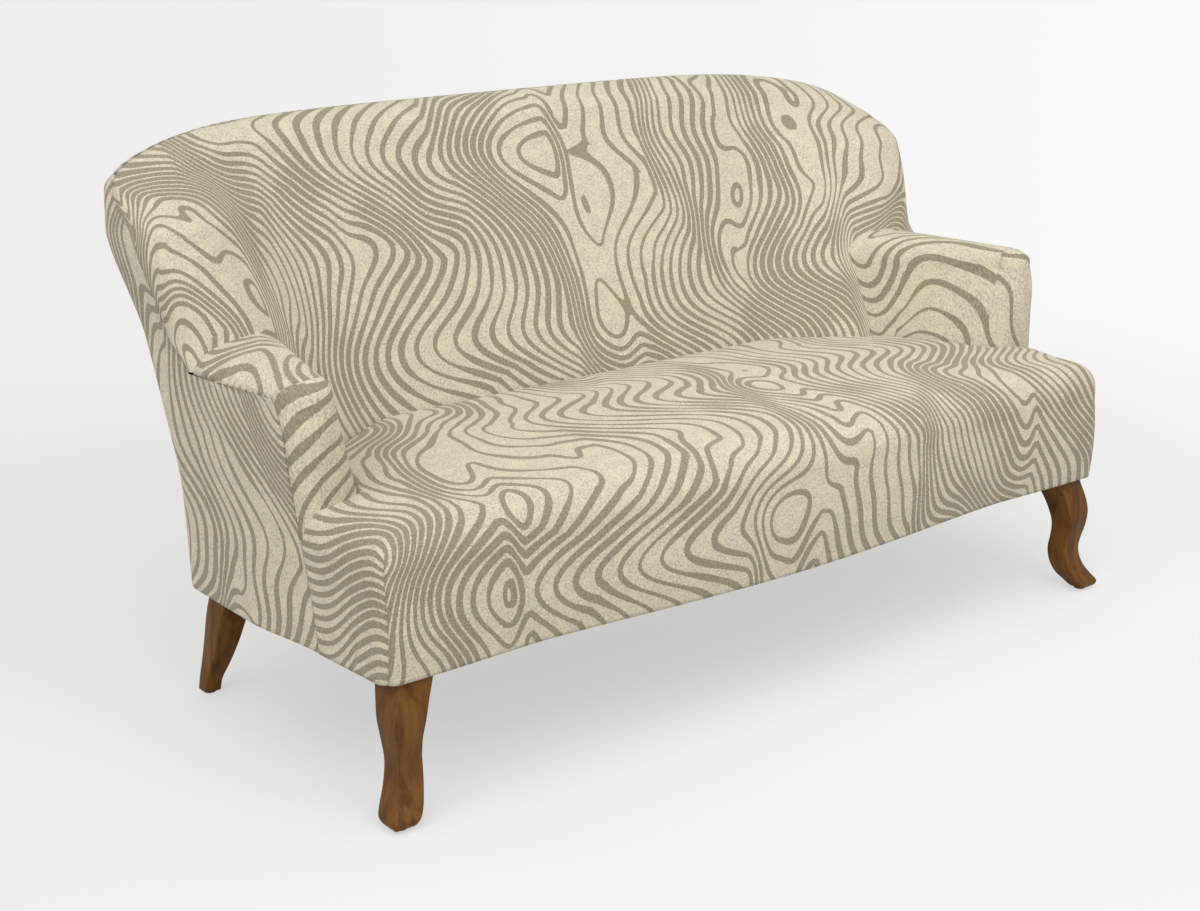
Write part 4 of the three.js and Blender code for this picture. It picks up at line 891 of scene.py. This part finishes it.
# %% [markdown]
# ## Patterned cloth
#
# The cloth is a plain weave of mottled cream yarn with a woven design of wavy lines, like the grain of
# wood. The lines are the level lines of a smooth made-up landscape: a steady slope across the cloth, bent
# by slow noise. Dividing by the slope keeps every line about as wide as its neighbours, so lines that crowd
# together run into one, as they do in the real cloth.

# %% Helpers for node trees
def put(tree, kind, **settings):
    node = tree.nodes.new("ShaderNode" + kind)
    for key, value in settings.items():
        setattr(node, key, value)
    return node


def fed(node, sources, output=0):
    """Sets or links the named inputs of a node, and gives one of its outputs."""
    for slot, source in sources.items():
        if isinstance(source, (int, float, tuple)):
            node.inputs[slot].default_value = source
        else:
            node.id_data.links.new(source, node.inputs[slot])
    return node.outputs[output] if node.outputs else node


def made(kind, sources, output=0, **settings):
    """Puts a node into the tree that its sources come from, and feeds it with them."""
    tree = next(source.id_data for source in sources.values() if hasattr(source, "id_data"))
    return fed(put(tree, kind, **settings), sources, output)


def maths(operation, *values, clamp=False):
    return made("Math", dict(enumerate(values)), operation=operation, use_clamp=clamp)


def vector(operation, *values):
    slots = (0, 3) if operation == "SCALE" else (0, 1, 2)
    output = 1 if operation in ("LENGTH", "DOT_PRODUCT") else 0
    return made("VectorMath", dict(zip(slots, values)), output, operation=operation)


def noise(place, scale, detail=0.0, rough=0.5, dims="2D"):
    inputs = {"Vector": place, "Scale": scale, "Detail": detail, "Roughness": rough}
    return made("TexNoise", inputs, noise_dimensions=dims)


def stretched(place, factors, detail=0.0, rough=0.5):
    return noise(vector("MULTIPLY", place, (*factors, 0.0)), 1.0, detail, rough)


def ramp(value, low, high, to_low=0.0, to_high=1.0, kind="SMOOTHSTEP"):
    inputs = {"Value": value, "From Min": low, "From Max": high, "To Min": to_low, "To Max": to_high}
    return made("MapRange", inputs, interpolation_type=kind)


def blend(share, a, b):
    return made("Mix", {0: share, 6: a, 7: b}, 2, data_type="RGBA")


def bump(height, strength, distance, **more):
    return made("Bump", {"Height": height, "Strength": strength, "Distance": distance, **more})


def mixed(share, a, b):
    return made("MixShader", {0: share, 1: a, 2: b})


def coordinates(tree, kind):
    return put(tree, "TexCoord").outputs[kind]


def new_material(name):
    mat = bpy.data.materials.new(name)
    mat.use_nodes = True
    return mat, mat.node_tree, mat.node_tree.nodes["Principled BSDF"]


def new_group(name, result):
    """A node group that turns a place into one number."""
    tree = bpy.data.node_groups.new(name, "ShaderNodeTree")
    tree.interface.new_socket("Place", in_out="INPUT", socket_type="NodeSocketVector")
    tree.interface.new_socket(result, in_out="OUTPUT", socket_type="NodeSocketFloat")
    return tree, tree.nodes.new("NodeGroupInput").outputs[0]


# %% The landscape whose level lines are the pattern
def landscape_group():
    tree, place = new_group("wavy_landscape", "Height")
    ahead = made("SeparateXYZ", {0: place})
    slow = maths("SUBTRACT", stretched(place, (1.1, 2.7), 0.6, 0.35), 0.5)
    quick = maths("SUBTRACT", stretched(place, (2.0, 6.4)), 0.5)
    fold = maths("ABSOLUTE", maths("SUBTRACT", stretched(place, (2.7, 2.6)), 0.5))
    knot = ramp(stretched(place, (5.6, 2.3)), 0.54, 0.82)
    height = ahead
    for part, share in ((slow, 0.68), (quick, 0.11), (fold, 0.14), (knot, 0.080)):
        height = maths("MULTIPLY_ADD", part, share, height)
    fed(tree.nodes.new("NodeGroupOutput"), {0: height})
    return tree


landscape = landscape_group()


# %% [markdown]
# Three looks at the landscape, a hair's breadth apart, give its slope. A line lies where the height passes
# a whole number of line spacings.

# %% The lines of the pattern
LINE_SPACING, LOOK, GENTLEST = 0.0285, 0.0015, 0.30
THINNEST, WIDEST, WIDEST_SHARE, EDGE_SOFT, RAGGED = 0.0032, 0.0068, 0.38, 0.0006, 0.0022


def lines_group():
    tree, place = new_group("wavy_lines", "Lines")

    def height_at(offset):
        return made("Group", {0: vector("ADD", place, offset)}, node_tree=landscape)

    here, aside, along = height_at((0, 0, 0)), height_at((LOOK, 0, 0)), height_at((0, LOOK, 0))
    sx = maths("DIVIDE", maths("SUBTRACT", aside, here), LOOK)
    sy = maths("DIVIDE", maths("SUBTRACT", along, here), LOOK)
    steep = maths("ADD", maths("MULTIPLY", sx, sx), maths("MULTIPLY", sy, sy))
    slope = maths("MAXIMUM", maths("SQRT", steep), GENTLEST)
    turns = maths("FRACT", maths("DIVIDE", here, LINE_SPACING))
    off = maths("ABSOLUTE", maths("SUBTRACT", turns, 0.5))
    distance = maths("DIVIDE", maths("MULTIPLY", off, LINE_SPACING), slope)
    ragged = maths("SUBTRACT", noise(place, 420.0, 1.0), 0.5)
    distance = maths("MULTIPLY_ADD", ragged, RAGGED, distance)
    swell = ramp(stretched(place, (9.0, 6.0), 1.0), 0.32, 0.68, THINNEST, WIDEST, "LINEAR")
    swell = maths("MINIMUM", swell, maths("DIVIDE", WIDEST_SHARE * LINE_SPACING, slope))
    inner_edge, outer_edge = maths("SUBTRACT", swell, EDGE_SOFT), maths("ADD", swell, EDGE_SOFT)
    line = ramp(distance, inner_edge, outer_edge, 1.0, 0.0)
    fed(tree.nodes.new("NodeGroupOutput"), {0: line})
    return tree


lines = lines_group()


# %% [markdown]
# The yarn is mottled: every few threads differ a little in lightness and warmth, and small pale slubs stand
# out. The weave itself is two sets of fine ridges at right angles. Near a seam the cloth dips, and painted
# shade darkens it there.

# %% Cloth material
CREAM, WARM, GREY, LINE, LINE_DARK = (
    (0.640, 0.582, 0.448, 1), (0.675, 0.610, 0.435, 1), (0.440, 0.408, 0.322, 1),
    (0.345, 0.303, 0.208, 1), (0.235, 0.212, 0.150, 1))


def cloth_material():
    mat, tree, shader = new_material("patterned_weave")
    place = put(tree, "UVMap", uv_map="cloth").outputs[0]
    seam = put(tree, "Attribute", attribute_name="seam").outputs["Fac"]
    line = made("Group", {0: place}, node_tree=lines)
    mottle = noise(place, 260.0, 2.0, 0.7)
    patch = noise(place, 46.0, 2.0, 0.6)
    threads = stretched(place, (900.0, 160.0), 1.0)
    picks = stretched(place, (160.0, 900.0), 1.0)
    yarn = maths("ADD", threads, picks)
    base = blend(ramp(mottle, 0.36, 0.60), GREY, CREAM)
    base = blend(maths("MULTIPLY", ramp(patch, 0.4, 0.7), 0.55), base, WARM)
    dark = blend(ramp(mottle, 0.35, 0.7), LINE_DARK, LINE)
    shade = ramp(yarn, 0.7, 1.3, 0.86, 1.12, "LINEAR")
    # Painted shade: the cloth's colour is darker within a few millimetres of a seam, where the groove would
    # shade it.
    shade = maths("MULTIPLY", shade, ramp(seam, 0.0, 0.004, 0.88, 1.0))
    relief = maths("MULTIPLY_ADD", mottle, 0.6, maths("MULTIPLY", yarn, 0.5))
    weave = bump(relief, 0.55, 0.0007)
    fed(shader, {
        "Base Color": vector("SCALE", blend(line, base, dark), shade),
        "Roughness": 0.92,
        "Specular IOR Level": 0.22,
        "Sheen Weight": 0.18,
        "Sheen Roughness": 0.5,
        "Sheen Tint": (1.0, 0.96, 0.86, 1.0),
        "Normal": bump(ramp(seam, 0.0, 0.008), 0.8, 0.0015, Normal=weave),
    })
    return mat


cloth = cloth_material()

# %% [markdown]
# ## Wood, foam, steel and the plain cloth underneath

# %% Wood materials
def wood_material(name, tones, grain=(46.0, 46.0, 3.2), gloss=0.42):
    mat, tree, shader = new_material(name)
    light, dark, deep = tones
    where = coordinates(tree, "Object")
    wander = noise(where, 6.0, 2.0, 0.5, "3D")
    bent = vector("MULTIPLY_ADD", (1.6, 1.6, 0.0), wander, vector("MULTIPLY", where, grain))
    figure = noise(bent, 1.0, 4.0, 0.6, "3D")
    pores = noise(vector("MULTIPLY", where, (900.0, 900.0, 22.0)), 1.0, 2.0, 0.6, "3D")
    colour = blend(ramp(figure, 0.32, 0.68), dark, light)
    fed(shader, {
        "Base Color": blend(maths("MULTIPLY", ramp(pores, 0.56, 0.75), 0.55), colour, deep),
        "Roughness": ramp(figure, 0.2, 0.8, gloss - 0.06, gloss + 0.10),
        "Specular IOR Level": 0.12,
        "Normal": bump(maths("MULTIPLY_ADD", pores, -0.6, figure), 0.25, 0.0004),
    })
    return mat


LEG_TONES = ((0.180, 0.080, 0.020, 1), (0.092, 0.038, 0.010, 1), (0.034, 0.014, 0.005, 1))
FRAME_TONES = ((0.55, 0.38, 0.21, 1), (0.42, 0.27, 0.14, 1), (0.30, 0.18, 0.09, 1))
leg_wood = wood_material("leg_wood", LEG_TONES, grain=(64.0, 64.0, 2.6))
frame_wood = wood_material("frame_timber", FRAME_TONES, gloss=0.68)


# %% Materials of the inner pieces
def plain_material(name, colour, rough, metal=0.0, scale=600.0, depth=0.3):
    mat, tree, shader = new_material(name)
    grain = noise(coordinates(tree, "Object"), scale, 3.0, 0.6, "3D")
    darker = tuple(c * 0.72 for c in colour[:3]) + (1,)
    fed(shader, {
        "Base Color": blend(ramp(grain, 0.3, 0.7), darker, colour),
        "Roughness": ramp(grain, 0.2, 0.8, max(0.0, rough - 0.08), min(1.0, rough + 0.08)),
        "Metallic": metal,
        "Normal": bump(grain, depth, 0.0006),
    })
    return mat


inner = {
    "foam": plain_material("foam", (0.80, 0.70, 0.42, 1), 0.95, scale=900.0, depth=0.5),
    "cloth": plain_material("underside_cloth", (0.050, 0.050, 0.047, 1), 0.95, scale=700.0, depth=0.6),
    "webbing": plain_material("webbing", (0.080, 0.078, 0.070, 1), 0.9, scale=900.0, depth=0.6),
    "spring_steel": plain_material("spring_steel", (0.32, 0.33, 0.35, 1), 0.38, 1.0, scale=400.0, depth=0.1),
    "bolt_steel": plain_material("bolt_steel", (0.50, 0.51, 0.53, 1), 0.32, 1.0, scale=400.0, depth=0.1),
    "glide_nylon": plain_material("glide_nylon", (0.028, 0.028, 0.026, 1), 0.5, scale=500.0, depth=0.2),
    "frame_timber": frame_wood,
    "leg_wood": leg_wood,
    "upholstery_fabric": cloth,
}
slot_of = {row["node"]: row["material_slot"] for row in frame["record"]["subparts"]}
for node_name, node in frame["nodes"].items():
    node.data.materials.clear()
    node.data.materials.append(inner[slot_of[node_name]])

# %% [markdown]
# ## The cloth underneath
#
# A thin black cloth closes the frame from below. It hangs a little between its tacks.

# %% Dust cover
INSET, CORNER_CUT, SAG, REAR_END = 9, 12, 4, 230


def half_width_below(y):
    if y >= SEAM_FOOT_Y:
        return side_x(y, UNDERSIDE)
    return mix(FRONT_FOOT_X, EAR_X, (SEAM_FOOT_Y - y) / (SEAM_FOOT_Y - FRONT_Y))


def dust_cover():
    rows = []
    for u in steps(-1, 1, 90):
        row = []
        for s in steps(0, 1, 40):
            wide = half_width_below(mix(FRONT_Y, REAR_END, s)) - INSET
            x = u * (wide - CORNER_CUT * (2 * abs(s - 0.5)) ** 12)
            y = mix(front_plan_y(x) + INSET, rear_y(x, UNDERSIDE) - INSET, s)
            sag = SAG * math.sin(math.pi * s) * (1 - u * u)
            row.append((x, y, UNDERSIDE + 0.5 - sag))
        rows.append(row)
    p = placed(rows)
    quads = grid_quads(*p.shape[:2], flip=True)
    piece = mesh_piece("underside_cloth", p.reshape(-1, 3), quads.tolist())
    area = sum(f.area for f in piece.data.polygons)
    return piece, (float(np.ptp(p[:, :, 0])), float(np.ptp(p[:, :, 1]))), area


underside, underside_flat, underside_area = dust_cover()
underside.data.materials.append(inner["cloth"])
print("cloth underneath:", [round(v, 3) for v in underside_flat], "m, area", round(underside_area, 3))

# %% [markdown]
# ## What rides on what
#
# Nothing on this sofa moves, so every piece rides on the one body, and each cover stands for its cover and
# the foam below it.

covers = {
    inside_back: ("inside_back_cover", "inside_back_foam"),
    seat: ("seat_cover", "seat_foam"),
    arm_covers[0]: ("inside_arm_cover_left", "arm_foam_left"),
    arm_covers[1]: ("inside_arm_cover_right", "arm_foam_right"),
}
for piece, nodes in covers.items():
    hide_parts(*nodes)
panels = {
    outside_back: ("outside_back_panel",),
    side_panels[0]: ("outside_side_panel_left",),
    side_panels[1]: ("outside_side_panel_right",),
}
for piece, nodes in panels.items():
    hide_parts(*nodes)
for piece in [*covers, *panels]:
    piece.data.materials.append(cloth)
    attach(piece, root)
for piece, node in legs.items():
    piece.data.materials.append(leg_wood)
    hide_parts(node)
    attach(piece, root)
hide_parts("dust_cover")
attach(underside, root)

# %% [markdown]
# ## Floor, light and camera
#
# The photograph is taken in a white studio. The floor takes the sofa's soft shadow and fades into the white
# around it. Two large soft lamps hang in front and above, one of them far to the left. A weaker one fills
# from the top, a weak one from the right, and a small narrow one lightens the inner side of the right arm.

# %% Floor
PALE_LEFT, PALE_RIGHT = (0.83, 0.83, 0.83, 1), (0.96, 0.96, 0.96, 1)
FLOOR_HALF, TO_RIGHT = 7.0, (0.783, -0.622, 0.0)


def pale(place, reach):
    """The studio's white, with painted light that makes it lighter towards the right of the picture."""
    across = vector("DOT_PRODUCT", place, TO_RIGHT)
    return blend(ramp(across, -reach, reach, kind="LINEAR"), PALE_LEFT, PALE_RIGHT)


def floor_piece():
    r = FLOOR_HALF
    corners = [(-r, -r, 0), (r, -r, 0), (r, r, 0), (-r, r, 0)]
    piece = mesh_piece("studio_floor", corners, [(0, 1, 2, 3)], flat_faces=1)
    mat, tree, shader = new_material("studio_floor")
    fed(shader, {"Base Color": (0.80, 0.80, 0.80, 1), "Roughness": 0.9, "Specular IOR Level": 0.1})
    where = coordinates(tree, "Object")
    far = vector("LENGTH", vector("MULTIPLY", where, (0.85, 1.0, 0.0)))
    # Painted light: seen from the camera, six tenths of the floor is a glow of the studio's white, which
    # keeps the sofa's shadow on it pale.
    glow = made("Emission", {0: pale(where, 2.0)})
    camera_ray = put(tree, "LightPath").outputs["Is Camera Ray"]
    seen = mixed(maths("MULTIPLY", camera_ray, 0.60), shader.outputs[0], glow)
    clear = put(tree, "BsdfTransparent").outputs[0]
    faded = mixed(ramp(far, 0.9, 2.6), seen, clear)
    fed(tree.nodes["Material Output"], {"Surface": faded})
    piece.data.materials.append(mat)
    return piece


studio_floor = floor_piece()


# %% World and lamps
def studio_world():
    world = bpy.data.worlds.new("studio")
    bpy.context.scene.world = world
    world.use_nodes = True
    tree = world.node_tree
    tree.nodes.clear()
    white = pale(coordinates(tree, "Generated"), 0.30)
    seen = made("Background", {0: white, 1: 1.0})
    lit = fed(put(tree, "Background"), {0: (1.0, 0.99, 0.97, 1), 1: 0.56})
    path = put(tree, "LightPath").outputs
    share = maths("ADD", path["Is Camera Ray"], path["Is Glossy Ray"], clamp=True)
    share = maths("ADD", share, path["Is Transmission Ray"], clamp=True)
    made("OutputWorld", {0: mixed(share, lit, seen)})


def soft_lamp(name, place, aim, size, power, tone=(1.0, 1.0, 1.0), spread=180):
    data = bpy.data.lights.new(name, "AREA")
    data.shape = "RECTANGLE"
    data.size, data.size_y = size
    data.energy = power
    data.color = tone
    data.spread = math.radians(spread)
    lamp = added(name, data)
    lamp.location = place
    lamp.rotation_euler = (Vector(aim) - Vector(place)).to_track_quat("-Z", "Y").to_euler()


studio_world()
soft_lamp("key", (-0.5, -2.9, 3.0), (0.1, 0, 0.5), (3.0, 2.0), 46)
soft_lamp("fill_left", (-2.7, -1.0, 2.9), (0.5, 0, 0.6), (2.4, 2.0), 46)
soft_lamp("fill_right", (3.2, -0.8, 2.0), (0, 0, 0.5), (2.0, 2.0), 5)
soft_lamp("top", (0, -0.6, 3.4), (0, 0, 0.4), (2.8, 2.2), 17, (0.90, 0.96, 1.0))
soft_lamp("inside", (0.1, -0.9, 1.9), (0.5, -0.02, 0.40), (0.9, 0.7), 1.2, spread=75)

# %% [markdown]
# The camera stands at the front left, a little above, at a distance measured from how the straight edges
# run together in the photograph.

# %% Camera
AZIMUTH, ELEVATION, DISTANCE, LENS = -38.4762, 17.3857, 3.3924, 58.7245
target = Vector((-0.1641, shift_y, 0.3798))
az, el = math.radians(AZIMUTH), math.radians(ELEVATION)
back = Vector((math.sin(az) * math.cos(el), -math.cos(az) * math.cos(el), math.sin(el)))
camera_data = bpy.data.cameras.new("camera")
camera_data.lens = LENS
camera_data.sensor_width = 36
camera_data.clip_end = 60
camera = added("camera", camera_data)
camera.location = target + back * DISTANCE
camera.rotation_euler = (-back).to_track_quat("-Z", "Y").to_euler()
bpy.context.scene.camera = camera
bpy.context.scene.view_settings.view_transform = "Standard"
print("camera at", [round(v, 3) for v in camera.location])
